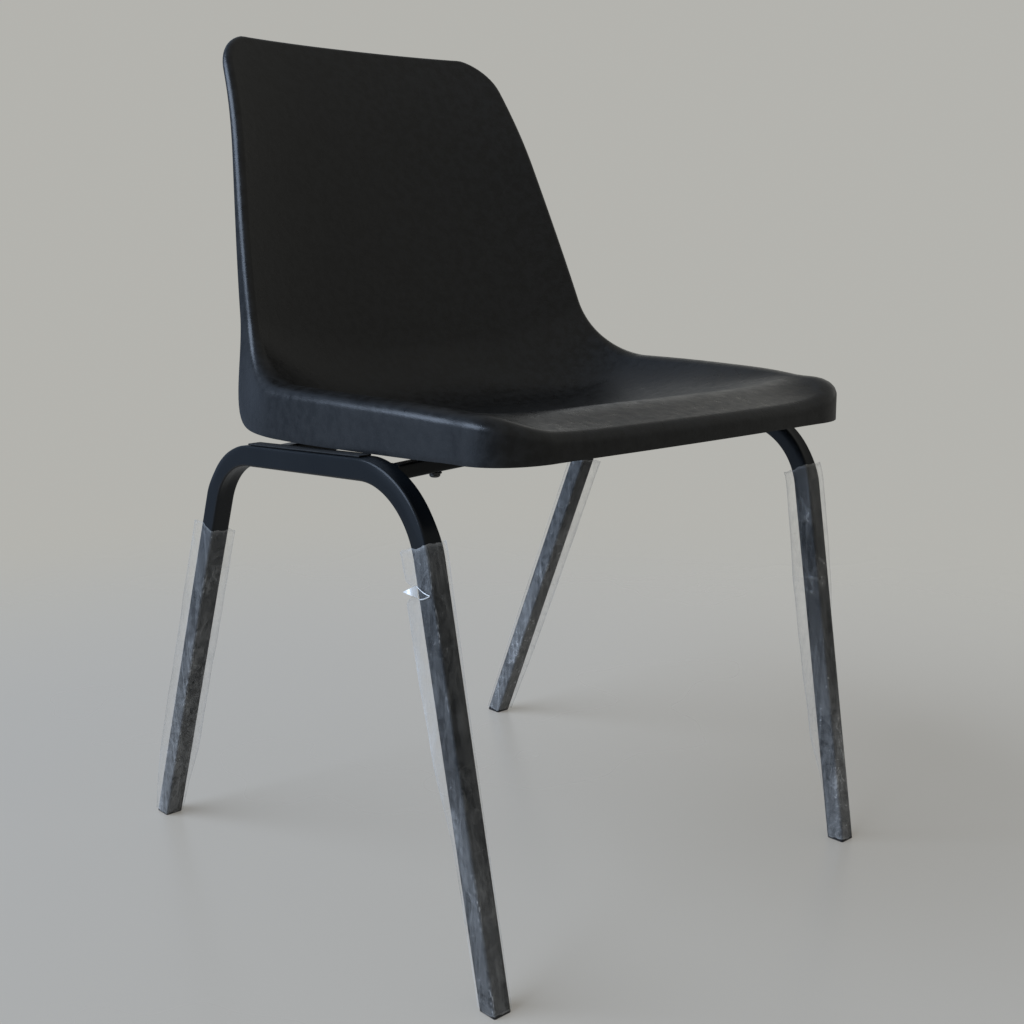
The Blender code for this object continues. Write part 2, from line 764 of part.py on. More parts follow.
def add_shell(bosses, holes):
    """The moulding: a grid of the sitting surface, then the rolled edge and skirt as rings round its border."""
    rows = shell_rows()
    spread = [math.sin(math.pi / 2 * mix(-1, 1, i / SHELL_COLUMNS)) for i in range(SHELL_COLUMNS + 1)]
    last_row = len(rows) - 1

    def build(work):
        grid = {}
        for j, along in enumerate(rows):
            for i, share in enumerate(spread):
                point = surface(share * outline_half_width(along), along)
                grid[i, j] = work.verts.new(point)
        for j in range(last_row):
            for i in range(SHELL_COLUMNS):
                work.faces.new((grid[i, j], grid[i + 1, j], grid[i + 1, j + 1], grid[i, j + 1]))
        border = [(i, 0) for i in range(SHELL_COLUMNS)]
        border += [(SHELL_COLUMNS, j) for j in range(last_row)]
        border += [(i, last_row) for i in range(SHELL_COLUMNS, 0, -1)]
        border += [(0, j) for j in range(last_row, 0, -1)]
        columns = []
        for k, (i, j) in enumerate(border):
            before = grid[border[k - 1]].co
            after = grid[border[(k + 1) % len(border)]].co
            point = grid[i, j].co
            normal = surface_normal(point.x, rows[j])
            places = edge_rings(point, after - before, normal, RIM.value_at(rows[j]))
            columns.append([grid[i, j]] + [work.verts.new(place) for place in places])
        for left, right in zip(columns, columns[1:] + columns[:1]):
            for k in range(len(left) - 1):
                work.faces.new((left[k], left[k + 1], right[k + 1], right[k]))
    mesh = bmesh_mesh("seat_shell", build)
    smooth_sides(mesh)
    shell = add_object(mesh.name, mesh, SHELL_PLASTIC)
    solidify = shell.modifiers.new("wall", "SOLIDIFY")
    solidify.thickness = SHELL_WALL
    solidify.offset = -1
    solidify.use_even_offset = True
    for boss in bosses:
        boolean(shell, boss, "UNION")
    for hole in holes:
        boolean(shell, hole, "DIFFERENCE")


SLEEVE_TOPS = {
    ("front", "right"): FRONT_RIGHT_SLEEVE_TOP,
    ("front", "left"): FRONT_LEFT_SLEEVE_TOP,
    ("rear", "right"): REAR_RIGHT_SLEEVE_TOP,
    ("rear", "left"): REAR_LEFT_SLEEVE_TOP,
}


def build_chair():
    tube_floor = add_floor_cutter("tube_floor", SOLE_THICKNESS + GAP)
    sleeve_floor = add_floor_cutter("sleeve_floor", SLEEVE_LIFT)
    end_cutters = []
    for side in SIDES:
        plane = side_plane(side)
        add_side_frame(side, plane, tube_floor)
        add_pad(side, plane)
        end_cutters.append(add_end_cutter(side, plane))
        for end in ENDS:
            add_foot(end, side)
            add_sleeve(end, side, plane, SLEEVE_TOPS[end, side], sleeve_floor)
    bosses = []
    holes = []
    for end in ENDS:
        end_holes = [add_screw_hole(end, side) for side in SIDES]
        bosses += [add_boss(end, side) for side in SIDES]
        holes += end_holes
        add_cross_rail(end, end_cutters, end_holes)
        for side in SIDES:
            add_fastener(end, side)
    add_shell(bosses, holes)


build_chair()
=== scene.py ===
"""Looks of the school chair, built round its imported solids.

Metres, +Z up, in the frame of the solids: the origin is on the floor under the middle of the footprint, the
sitter faces -Y and has the right hand at -X.
"""
from math import atan, atan2, copysign, cos, exp, hypot, pi, radians, remainder, sin, sqrt, tan, tau

import bmesh
import bpy
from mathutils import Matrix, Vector, noise


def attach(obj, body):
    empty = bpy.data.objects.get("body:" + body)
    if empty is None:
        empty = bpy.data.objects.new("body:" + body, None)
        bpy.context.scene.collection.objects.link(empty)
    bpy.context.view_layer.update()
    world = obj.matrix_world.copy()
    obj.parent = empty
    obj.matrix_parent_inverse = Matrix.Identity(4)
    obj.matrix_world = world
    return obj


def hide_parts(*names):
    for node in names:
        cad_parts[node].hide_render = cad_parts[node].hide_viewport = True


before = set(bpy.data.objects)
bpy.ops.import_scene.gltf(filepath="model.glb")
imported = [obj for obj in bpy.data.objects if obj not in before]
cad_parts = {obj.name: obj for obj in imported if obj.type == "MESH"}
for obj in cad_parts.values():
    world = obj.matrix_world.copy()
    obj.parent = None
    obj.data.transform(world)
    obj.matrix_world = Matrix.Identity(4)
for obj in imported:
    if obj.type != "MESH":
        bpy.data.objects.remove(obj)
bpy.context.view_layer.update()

# Gap between pieces that touch
GAP = 0.0003

# Square tube of the side frames, and how its walls give way in a bend: the inner face is dented and rippled,
# the outer one sinks, less at its edges, and narrows by a share, and the sides bulge
TUBE = 0.019
TUBE_WALL = 0.0015
TUBE_CORNER = 0.0022
BEND_RADIUS = 0.077
BEND_DENT = 0.0014
BEND_RIPPLE = 0.00025
BEND_RIPPLES = 3
BEND_SINK = 0.0008
BEND_EDGE_SINK = 0.4
BEND_TAPER = 0.15
BEND_BULGE = 0.0003

# Side frames
FOOTPRINT_DEPTH = 0.561
FRONT_LEG_ANGLE = radians(10.6)
REAR_LEG_ANGLE = radians(22.4)
RAIL_HEIGHT = 0.426
RAIL_SLOPE = radians(2.9)
SIDE_LEAN = radians(1.0)
RAIL_HALF_TRACK = 0.2516

# Cross rails
CROSS_TUBE = 0.0127
CROSS_WALL = 0.0012
CROSS_CORNER = 0.0015
CROSS_RISE = 0.008
FRONT_CROSS_INTO_BEND = 0.023
REAR_CROSS_BEFORE_BEND = 0.012

# Welds: the leg and the number of ripples, then how the leg varies, as shares of it
WELD_LEG = 0.0021
WELD_RIPPLES = 34
WELD_RIPPLE = 0.10
WELD_UNEVENNESS = 0.18
WELD_HOLLOW = 0.22
WELD_BURIED = 0.9

# Pads on the rails
PAD_THICKNESS = 0.0015

# Feet. The plug's ribs have their root and their crest at shares of their pitch.
SOLE_THICKNESS = 0.003
SOLE_CHAMFER = 0.0007
PLUG_LENGTH = 0.025
PLUG_CLEARANCE = 0.0003
PLUG_RIB = 0.0002
PLUG_RIBS = 4
PLUG_RIB_SHARES = (0.3, 0.7)

# Film sleeves: the names of their attributes, how they lie on the tube, and the heights of their tops
WHITENESS_AND_GLINT = "crease"
CLING = "cling"
FILM_GAP = 0.0004
FILM_CORNER = 0.0028
FIN_ROOT = 0.003
FIN_MOUTH = 0.00025
SLEEVE_LIFT = 0.0015
SLEEVE_FLAT_WIDTH = 0.050
SLEEVE_TOPS = {
    ("front", "right"): 0.380,
    ("front", "left"): 0.386,
    ("rear", "right"): 0.346,
    ("rear", "left"): 0.360,
}

# Tear in one sleeve's first fin: its place as a share of the length, then the flap, with the heights of its
# upper and lower edge at the root and at the tip, and the folds, each as (height at the root, sag)
TORN_SLEEVE = ("front", "right")
TEAR_SHARE = 0.911
TEAR_LENGTH = 0.0115
TEAR_ROOT = (0.0042, -0.0062)
TEAR_TIP = (0.0003, -0.0001)
TEAR_TWIST = 0.0028
TEAR_BELLY = 0.0012
TEAR_FOLDS = ((0.0030, -0.0012), (-0.0074, -0.0008))
FOLDS_MEET = -0.0045
FOLD_END = 0.002
FOLD_PROUD = 0.0011
FOLD_RIDGE = 0.0005

# Width of each sleeve's two fins, at shares of its length from the floor: first the fin at its -X +Y corner
FIN_WIDTHS = {
    ("front", "right"): (
        [(0.0, 0.002), (0.35, 0.003), (0.55, 0.009), (0.885, 0.011), (TEAR_SHARE, 0.003), (0.935, 0.009),
         (1.0, 0.010)],
        [(0.0, 0.002), (0.5, 0.002), (1.0, 0.004)],
    ),
    ("front", "left"): (
        [(0.0, 0.001), (0.13, 0.0015), (0.30, 0.009), (0.60, 0.0115), (1.0, 0.009)],
        [(0.0, 0.001), (0.6, 0.001), (0.70, 0.004), (1.0, 0.0055)],
    ),
    ("rear", "right"): (
        [(0.0, 0.003), (0.2, 0.008), (1.0, 0.009)],
        [(0.0, 0.002), (0.12, 0.004), (0.30, 0.008), (1.0, 0.008)],
    ),
    ("rear", "left"): (
        [(0.0, 0.003), (0.5, 0.004), (1.0, 0.004)],
        [(0.0, 0.004), (0.3, 0.008), (1.0, 0.010)],
    ),
}

# Haze on each sleeve's faces, at shares of its length from the floor, mostly thicker low down as painted
# light where the lower legs are lit brighter, and how sharply the sleeve is creased
HAZE_WITH_PAINTED_LIGHT = {
    ("front", "right"): [(0.0, 1.2), (0.3, 1.1), (0.6, 0.7), (1.0, 0.9)],
    ("front", "left"): [(0.0, 1.9), (0.3, 1.6), (0.6, 0.9), (1.0, 1.0)],
    ("rear", "right"): [(0.0, 2.0), (0.4, 1.6), (0.8, 0.9), (1.0, 0.9)],
    ("rear", "left"): [(0.0, 2.2), (0.5, 1.6), (1.0, 0.7)],
}
CREASES = {
    ("front", "right"): 1.0,
    ("front", "left"): 0.9,
    ("rear", "right"): 0.6,
    ("rear", "left"): 0.8,
}

# Film: heights of its waves, folds and ragged ends, the shares of its length that are ragged or carry the
# painted highlight of its cut ends, the haze on its fins, and how much painted highlight its creases, fin
# tips, cut ends and glints get, and how pale the torn flap is
FIN_FLUTTER = 0.10
FIN_WAVE = 0.0022
FIN_RIPPLE = 0.0006
CORNER_LOOSENESS = 0.25
SLACK_HEIGHT = 0.00045
CREASE_HEIGHT = 0.00070
TOP_NICK = 0.0022
FOOT_NICK = 0.0025
HIGHLIGHT_FOOT = (0.0, 0.008)
HIGHLIGHT_TOP = (0.990, 1.0)
RAGGED_TOP = (0.93, 1.0)
FIN_HAZE = 0.75
FIN_CREASE_HIGHLIGHT = 0.25
FACE_CREASE_HIGHLIGHT = 0.6
END_HIGHLIGHT = 0.32
TIP_HIGHLIGHT = 0.5
TIP_STEPS = 0.9
GLINT_WHITENESS = 0.8
TEAR_WHITENESS = 2.0

# Shell: plan, to where the rolled edge starts
SEAT_HALF_WIDTH = 0.2235
FRONT_HALF_WIDTH = 0.2085
ELBOW_HALF_WIDTH = 0.2175
TOP_HALF_WIDTH = 0.1645
SHELL_FRONT = 0.2545
FRONT_BOW = 0.005
WIDEST_SETBACK = 0.223
FRONT_CORNER_RADIUS = 0.036
TOP_CORNER_RADIUS = 0.033

# Shell: side view
SHELL_WALL = 0.004
RIM_DEPTH = 0.0415
SHELL_HEIGHT = 0.3645
BACK_ANGLE = radians(18.8)
RIM_ELBOW_Y = 0.078
RIM_ELBOW_RADIUS = 0.090
PAN_ELBOW_RADIUS = 0.090
PAN_CLEARANCE = 0.006
PAN_SLOPE = radians(4.7)
BACK_HOLLOW = 0.032
RIM_DROOP_RADIUS = 3.5
RIM_DROOP_LENGTH = 0.173
TOP_FLARE_RADIUS = 0.37
RIM_FLARE_LENGTH = 0.120
PAN_FLARE_LENGTH = 0.085

# Shell: the seat's hollow, and the ridge before it, which falls to the front
DISH_DEPTH = 0.0052
DISH_Y = -0.03
DISH_HALF_LENGTH = 0.13
RIDGE_START = -0.105
RIDGE_CURVE = 1.30
FRONT_FALL = 0.68
FRONT_FALL_Y = -0.204
FRONT_FALL_ROUND = 0.014
FRONT_EDGE_DIP = 0.0008

# Shell: how squarely its sides turn up, as the power of its section, and where on the rim the front's ends
FRONT_SECTION_POWER = 8.0
SEAT_SECTION_POWER = 4.0
BACK_SECTION_POWER = 2.2
FRONT_SECTION_END = 0.6

# Shell: rolled edge, as (width, height), and skirt
SEAT_ROLL = (0.017, 0.0105)
FRONT_ROLL = (0.0125, 0.0125)
BACK_ROLL = (0.0065, 0.0065)
BACK_SKIRT = 0.0165
TOP_SKIRT = 0.0068
SKIRT_BACK_ANGLE = radians(11.5)
SKIRT_CORNER_POWER = 3.2
SKIRT_DRAFT = radians(1.0)
EDGE_SLOPE = radians(0.8)
ROLL_SHARE_OF_SKIRT = 0.9
LIP_ROUND = 0.0012

# Screw bosses under the shell, with a fillet as shares (out, down) of its size, and ribs
BOSS_HALF_TRACK = 0.198
BOSS_RADIUS = 0.012
BOSS_HOLE_DEPTH = 0.011
BOSS_FILLET = 0.003
FILLET_SECTION = ((0.0, 1.0), (0.3, 0.3), (1.0, 0.0))
RIB_LENGTH = 0.020
RIB_THICKNESS = 0.0022
RIB_DRAFT = 1.2
RIB_POWER = 0.8

# Screws and washers. The point is in screw radii, as (radius, distance from the tip). The recess is a bar's
# (height over the head's lower face, half-length, half-width), at its mouth and at its bottom.
SCREW_RADIUS = 0.0024
SCREW_CLEARANCE = 0.0003
SCREW_HOLE = SCREW_RADIUS + SCREW_CLEARANCE
SCREW_BITE = 0.009
SCREW_POINT = ((0.15, 0.0), (0.8, 1.0))
THREADS = 12
THREAD_ROOT = 0.82
SCREW_HEAD_RADIUS = 0.0047
SCREW_HEAD_HEIGHT = 0.0031
HEAD_FLAT = 0.45
HEAD_SIDE = 0.3
RECESS = ((-0.001, 0.0030, 0.00062), (0.0019, 0.0014, 0.00045))
RECESS_TURN = 0.4
WASHER_RADIUS = 0.0060
WASHER_THICKNESS = 0.0012

# Facets and other steps
CORNER_STEPS = 6
BEND_STEPS = 40
RUN_STEPS = 12
CROSS_STEPS = 40
ROUND_STEPS = 40
SHELL_COLUMNS = 96
SHELL_CORNER_ROWS = 12
SHELL_RUN_ROWS = 28
ROLL_STEPS = 10
SKIRT_STEPS = 5
FIN_STEPS = 7
FACE_STEPS = 9
SLEEVE_ROWS = 260
FILM_STEPS_PER_METRE = 2000
TEAR_STEPS = 8
TEAR_COLUMNS = 6
FOLD_STEPS = 16
CROSS_CORNER_STEPS = 4
WELD_CORNER_STEPS = 8
WELD_STEPS = 5
RIB_STEPS = 8
HEAD_STEPS = 6
LIP_STEPS = 3
LIP_ANGLE = radians(50)
SHARP_ANGLE = radians(38)
NORMAL_STEP = 0.001
HALVINGS = 40

# Camera, from the photograph
CAMERA_PLACE = (-0.8979, -1.0054, 0.6137)
CAMERA_YAW = radians(42.46)
CAMERA_PITCH = radians(-13.39)
CAMERA_LENS = 47.21
CAMERA_SHIFT_Y = 0.0471
CAMERA_SENSOR = 36.0

# Room: the backdrop, then its light by direction. On the camera's left it is bright round the window and in
# shade beside it. Elsewhere it has strengths low and high in front, low and high behind, and overhead there.
# Each range is the part of a direction over which one light turns into the next.
BACKDROP = (0.455, 0.452, 0.425)
LEFT_LIGHT = (0.80, 1.00, 1.32)
LEFT_SHADE = (0.20, 0.255, 0.345)
LEFT_RANGE = (-0.20, 0.45)
WINDOW_RANGE = (0.80, 1.0)
LOW_FRONT = 0.50
HIGH_FRONT = 0.75
FRONT_RANGE = (0.34, 0.50)
LOW_REAR = 0.35
REAR_LIGHT = 1.35
WALL_RANGE = (0.04, 0.20)
CEILING_SHADE = 0.33
CEILING_RANGE = (0.26, 0.46)
FRONT_TO_REAR = (-0.6, 0.6)

# Window, which is the only lamp, and floor
WINDOW_COLOUR = (0.74, 0.90, 1.16)
WINDOW_TURN = radians(22)
WINDOW_DISTANCE = 9.0
WINDOW_HEIGHT = 7.6
WINDOW_AIM = (0, 0, 0.4)
WINDOW_SIZE = (11.0, 6.8)
WINDOW_POWER = 1300.0
FLOOR_RADIUS = 6.0
FLOOR_FADE = (0.55, 1.8)
FLOOR_LIFT = 0.165

SIDES = {"right": -1, "left": 1}
ENDS = ("front", "rear")


class Bend:
    """A straight run, an arc and a straight run in the YZ plane, walked with a value from 0 to 3."""

    def __init__(self, start, corner, end, radius):
        corner = Vector(corner)
        self.start = Vector(start)
        self.end = Vector(end)
        back = (self.start - corner).normalized()
        ahead = (self.end - corner).normalized()
        half = back.angle(ahead) / 2
        self.arc_start = corner + back * radius / tan(half)
        self.arc_end = corner + ahead * radius / tan(half)
        self.centre = corner + (back + ahead).normalized() * radius / sin(half)
        first = self.arc_start - self.centre
        last = self.arc_end - self.centre
        self.radius = radius
        self.first_angle = atan2(first.y, first.x)
        turn = atan2(last.y, last.x) - self.first_angle
        self.turn = remainder(turn, tau)
        self.lengths = (
            (self.arc_start - self.start).length,
            radius * abs(self.turn),
            (self.end - self.arc_end).length,
        )

    def at(self, v):
        if v <= 1:
            return self.start.lerp(self.arc_start, v)
        if v >= 2:
            return self.arc_end.lerp(self.end, v - 2)
        angle = self.first_angle + self.turn * (v - 1)
        return self.centre + self.radius * Vector((cos(angle), sin(angle)))

    def walked(self, v):
        """Length from the start to v."""
        return sum(length * min(max(v - run, 0), 1) for run, length in enumerate(self.lengths))

    def value_at(self, distance):
        """The value v at a length from the start."""
        v = 0.0
        for length in self.lengths:
            v += min(max(distance / length, 0), 1)
            distance -= length
        return v


def ease(start, end, x):
    """0 before start, 1 after end, and smooth between."""
    share = min(max((x - start) / (end - start), 0), 1)
    return share * share * (3 - 2 * share)


def mix(a, b, share):
    return a + (b - a) * share


def smooth_line(knots, x):
    """Value at x on a smooth line through (place, value) knots, which doesn't overshoot them."""
    slopes = [(b[1] - a[1]) / (b[0] - a[0]) for a, b in zip(knots, knots[1:])]
    tangents = [slopes[0]]
    for before, after in zip(slopes, slopes[1:]):
        same_way = before * after > 0
        tangents.append(2 * before * after / (before + after) if same_way else 0.0)
    tangents.append(slopes[-1])
    index = max(i for i in range(len(knots) - 1) if i == 0 or x >= knots[i][0])
    (x0, y0), (x1, y1) = knots[index], knots[index + 1]
    width = x1 - x0
    u = (x - x0) / width
    start_part = (1 + 2 * u) * (1 - u) ** 2 * y0 + u * (1 - u) ** 2 * width * tangents[index]
    end_part = u * u * (3 - 2 * u) * y1 + u * u * (u - 1) * width * tangents[index + 1]
    return start_part + end_part


def uneven(x, y, z):
    """Smooth noise from about -1 to 1."""
    return noise.noise(Vector((x, y, z)))


# Lines of the frame, as in the solids

def rail_z(y):
    return RAIL_HEIGHT - tan(RAIL_SLOPE) * y


def leg_corner(foot_y, run):
    """Where a leg's centreline meets the rail's. The leg moves run along Y for each metre up."""
    slope = tan(RAIL_SLOPE)
    height = (RAIL_HEIGHT - slope * foot_y) / (1 + slope * run)
    return foot_y + run * height, height


FRONT_FOOT_Y = -(FOOTPRINT_DEPTH / 2 - TUBE / 2 / cos(FRONT_LEG_ANGLE))
REAR_FOOT_Y = FOOTPRINT_DEPTH / 2 - TUBE / 2 / cos(REAR_LEG_ANGLE)
FRONT_CORNER = leg_corner(FRONT_FOOT_Y, tan(FRONT_LEG_ANGLE))
REAR_CORNER = leg_corner(REAR_FOOT_Y, -tan(REAR_LEG_ANGLE))
BENDS = {
    "front": Bend((FRONT_FOOT_Y, 0), FRONT_CORNER, REAR_CORNER, BEND_RADIUS),
    "rear": Bend((REAR_FOOT_Y, 0), REAR_CORNER, FRONT_CORNER, BEND_RADIUS),
}
FOOT_HALF_TRACK = RAIL_HALF_TRACK - RAIL_HEIGHT * tan(SIDE_LEAN)
FRONT_CROSS_Y = BENDS["front"].arc_end.x - FRONT_CROSS_INTO_BEND
REAR_CROSS_Y = BENDS["rear"].arc_end.x - REAR_CROSS_BEFORE_BEND


def bend_z(bend, y):
    """Height of a bend's arc at y."""
    return bend.centre.y + sqrt(bend.radius**2 - (y - bend.centre.x) ** 2)


CROSS_PLACES = {
    "front": (FRONT_CROSS_Y, bend_z(BENDS["front"], FRONT_CROSS_Y)),
    "rear": (REAR_CROSS_Y, rail_z(REAR_CROSS_Y)),
}


def cross_half_length(end):
    """Half the length of a cross rail's centreline, to the side frames' centres."""
    return FOOT_HALF_TRACK + CROSS_PLACES[end][1] * tan(SIDE_LEAN)


def cross_z(end, x):
    """Height of a cross rail's centreline."""
    return CROSS_PLACES[end][1] + CROSS_RISE * (1 - (x / cross_half_length(end)) ** 2)


# Lines of the shell: those of the solids, with a finer ridge, hollow, rim and corners

PAD_FRONT_Y = BENDS["front"].arc_end.x
PAD_RISE = (TUBE / 2 + GAP + PAD_THICKNESS) / cos(RAIL_SLOPE)
EDGE_HEIGHT = rail_z(PAD_FRONT_Y) + PAD_RISE + GAP
RIM_Z = EDGE_HEIGHT + RIM_DEPTH
TOP_Z = EDGE_HEIGHT + SHELL_HEIGHT
PAN_HEIGHT = cross_z("rear", 0) + CROSS_TUBE / 2 + PAN_CLEARANCE + SHELL_WALL


def pan_z(y):
    """The seat's centre line."""
    return PAN_HEIGHT + tan(PAN_SLOPE) * (REAR_CROSS_Y - y)


def back_y(z, hollow):
    """The back's straight line in side view, so far behind the rim's."""
    return RIM_ELBOW_Y + hollow + tan(BACK_ANGLE) * (z - RIM_Z)


def pan_corner():
    """Where the seat's and the back's centre lines would meet."""
    slope = tan(PAN_SLOPE)
    lean = tan(BACK_ANGLE)
    z = (pan_z(0) - slope * (RIM_ELBOW_Y + BACK_HOLLOW - lean * RIM_Z)) / (1 + slope * lean)
    return back_y(z, BACK_HOLLOW), z


RIM = Bend((-SHELL_FRONT, RIM_Z), (RIM_ELBOW_Y, RIM_Z), (back_y(TOP_Z, 0), TOP_Z), RIM_ELBOW_RADIUS)
PAN = Bend((-SHELL_FRONT, pan_z(-SHELL_FRONT)), pan_corner(), (back_y(TOP_Z, BACK_HOLLOW), TOP_Z),
           PAN_ELBOW_RADIUS)
RIM_LENGTH = sum(RIM.lengths)
WIDTHS = [
    (0.0, FRONT_HALF_WIDTH),
    (WIDEST_SETBACK, SEAT_HALF_WIDTH),
    (RIM.walked(1.5), ELBOW_HALF_WIDTH),
    (RIM_LENGTH, TOP_HALF_WIDTH),
]


def rim_droop(y):
    """How far the rim falls away towards the front."""
    return max(0.0, RIM_DROOP_LENGTH - SHELL_FRONT - y) ** 2 / (2 * RIM_DROOP_RADIUS)


def front_ridge(y):
    """Rise of the seat's centre line over its straight run, to a ridge that falls to the front."""
    ahead = FRONT_FALL_Y - y
    fall = FRONT_FALL * (ahead + hypot(ahead, FRONT_FALL_ROUND)) / 2
    return RIDGE_CURVE * max(0.0, RIDGE_START - y) ** 2 - fall


def dish(y):
    """How far the seat's centre line is hollowed."""
    away = min(1.0, abs(y - DISH_Y) / DISH_HALF_LENGTH)
    return DISH_DEPTH * (1 + cos(pi * away)) / 2


def round_inset(distance, radius):
    """How far a rounded corner draws the side in, at a distance from the corner's end."""
    short = max(0.0, radius - distance)
    return radius - sqrt(radius**2 - short**2)


def outline_half_width(along):
    """Half-width of the surface, with its rounded corners, at a length along the rim from the front."""
    full = smooth_line(WIDTHS, along)
    front = round_inset(along, FRONT_CORNER_RADIUS)
    return full - front - round_inset(RIM_LENGTH - along, TOP_CORNER_RADIUS)


def flare(along, length):
    """How far the back bends rearwards over the last length before its top."""
    return max(0.0, length + along - RIM_LENGTH) ** 2 / (2 * TOP_FLARE_RADIUS)


def surface(x, along):
    """Point of the sitting surface."""
    v = RIM.value_at(along)
    pan = PAN.at(v)
    rim = RIM.at(v)
    lift = front_ridge(pan.x) if v < 1 else 0.0
    pan += Vector((flare(along, PAN_FLARE_LENGTH), lift - (dish(pan.x) if v < 2 else 0.0)))
    rim += Vector((flare(along, RIM_FLARE_LENGTH), -rim_droop(rim.x)))
    seat_power = mix(FRONT_SECTION_POWER, SEAT_SECTION_POWER, ease(0, FRONT_SECTION_END, v))
    power = mix(seat_power, BACK_SECTION_POWER, ease(1, 2, v))
    aside = abs(x) / smooth_line(WIDTHS, along)
    y, z = pan.lerp(rim, aside**power)
    bow = FRONT_BOW * max(0.0, 1 - along / WIDEST_SETBACK) ** 2 * (1 - aside**2)
    return Vector((x, y - bow, z))


def edge_z(y):
    """Height of the skirt's lower edge under the seat. It falls to the rear and dips at the front."""
    dip = FRONT_EDGE_DIP * (1 - ease(-SHELL_FRONT, PAD_FRONT_Y, y))
    return EDGE_HEIGHT - tan(EDGE_SLOPE) * (y - PAD_FRONT_Y) - dip


def surface_normal(x, along):
    """Direction from the surface towards the sitter."""
    across = surface(x + NORMAL_STEP, along) - surface(x - NORMAL_STEP, along)
    up = surface(x, along + NORMAL_STEP) - surface(x, along - NORMAL_STEP)
    return across.cross(up).normalized()


def seat_z(x, y):
    """Height of the sitting surface over a point of the floor, found by halving."""
    low, high = 0.0, RIM.walked(1.6)
    for _ in range(HALVINGS):
        middle = (low + high) / 2
        if surface(x, middle).y < y:
            low = middle
        else:
            high = middle
    return surface(x, low).z


def skirt_depth(v, down, drop):
    """How far down the skirt reaches from the rim: to the nearer of its level edge and its edge behind the
    back, with a rounded corner between them. The drop is the rim's height over the level edge."""
    if v >= 2:
        return mix(TOP_SKIRT, BACK_SKIRT, (3 - v) ** 2)
    behind = Vector((cos(SKIRT_BACK_ANGLE), -sin(SKIRT_BACK_ANGLE)))
    normal_to_back = Vector((cos(BACK_ANGLE), -sin(BACK_ANGLE)))
    edge_start = RIM.arc_end + BACK_SKIRT * normal_to_back
    to_back = (edge_start - RIM.at(v)).dot(behind) / down.yz.dot(behind)
    to_level = drop / -down.z
    power = SKIRT_CORNER_POWER
    return (to_level**-power + to_back**-power) ** (-1 / power)


def edge_rings(point, tangent, normal, v):
    """The rolled edge and the skirt that follow one point of the surface's border, outwards and down."""
    outward = tangent.cross(normal).normalized()
    turned = abs(RIM.turn) * min(max(v - 1, 0), 1)
    down = Vector((0, sin(turned), -cos(turned)))
    skirt = skirt_depth(v, down, point.z - edge_z(point.y))
    on_back = ease(1, 2, v)
    out = (outward - outward.dot(down) * down).normalized()
    rise = atan2(-outward.dot(down), outward.dot(out))
    width, height = (mix(mix(front, seat, abs(out.x)), back, on_back)
                     for front, seat, back in zip(FRONT_ROLL, SEAT_ROLL, BACK_ROLL))
    height = min(height, ROLL_SHARE_OF_SKIRT * skirt)
    start = -atan(width / height * tan(rise))
    ring = []
    for step in range(1, ROLL_STEPS + 1):
        angle = mix(start, pi / 2, step / ROLL_STEPS)
        aside = width * (sin(angle) - sin(start))
        below = height * (cos(start) - cos(angle))
        ring.append(point + aside * out + below * down)
    straight = skirt - height * cos(start)
    for step in range(1, SKIRT_STEPS + 1):
        depth = straight * step / SKIRT_STEPS
        ring.append(ring[ROLL_STEPS - 1] + depth * (down + tan(SKIRT_DRAFT) * out))
    return ring


def shell_rows():
    """Lengths along the rim at which the surface has a row of points, closer at the rounded corners."""
    quarter = [1 - cos(pi / 2 * step / SHELL_CORNER_ROWS) for step in range(SHELL_CORNER_ROWS)]
    rows = [FRONT_CORNER_RADIUS * share for share in quarter]
    stops = [FRONT_CORNER_RADIUS, RIM.walked(1), RIM.walked(2), RIM_LENGTH - TOP_CORNER_RADIUS]
    for start, end in zip(stops, stops[1:]):
        rows += [mix(start, end, step / SHELL_RUN_ROWS) for step in range(SHELL_RUN_ROWS)]
    rows.append(stops[-1])
    return rows + [RIM_LENGTH - TOP_CORNER_RADIUS * share for share in reversed(quarter)]


# Mesh helpers

def smooth(mesh):
    mesh.shade_smooth()
    mesh.set_sharp_from_angle(angle=SHARP_ANGLE)


def mesh_from(name, build):
    """Mesh made by a function that fills a bmesh, with its faces turned out."""
    work = bmesh.new()
    build(work)
    bmesh.ops.recalc_face_normals(work, faces=work.faces)
    mesh = bpy.data.meshes.new(name)
    work.to_mesh(mesh)
    work.free()
    smooth(mesh)
    return mesh


def lofted(name, loops, closed=False, caps=False):
    """Mesh between closed loops of points, round to the first again if closed, with flat ends if caps."""
    def build(work):
        rings = [[work.verts.new(point) for point in loop] for loop in loops]
        followers = rings[1:] + rings[:1] if closed else rings[1:]
        for low, high in zip(rings, followers):
            for i, vert in enumerate(low):
                work.faces.new((low[i - 1], vert, high[i], high[i - 1]))
        if caps:
            work.faces.new(rings[0])
            work.faces.new(rings[-1])
    return mesh_from(name, build)


def add_object(name, data):
    obj = bpy.data.objects.new(name, data)
    bpy.context.scene.collection.objects.link(obj)
    return obj


def add_piece(mesh, material, slot, *replaced):
    """A piece of the object with its mesh's name, in place of the solids that it names."""
    mesh.materials.append(material)
    obj = add_object(mesh.name, mesh)
    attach(obj, "root")
    if replaced:
        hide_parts(*replaced)
    return obj


def apply_modifiers(obj):
    graph = bpy.context.evaluated_depsgraph_get()
    mesh = bpy.data.meshes.new_from_object(obj.evaluated_get(graph))
    obj.modifiers.clear()
    obj.data = mesh
    smooth(mesh)


def cut(obj, meshes, operation="DIFFERENCE"):
    """Cuts meshes out of a piece, or joins them to it."""
    tools = [add_object(mesh.name, mesh) for mesh in meshes]
    for tool in tools:
        modifier = obj.modifiers.new(tool.name, "BOOLEAN")
        modifier.operation = operation
        modifier.object = tool
    apply_modifiers(obj)
    for tool in tools:
        bpy.data.objects.remove(tool)


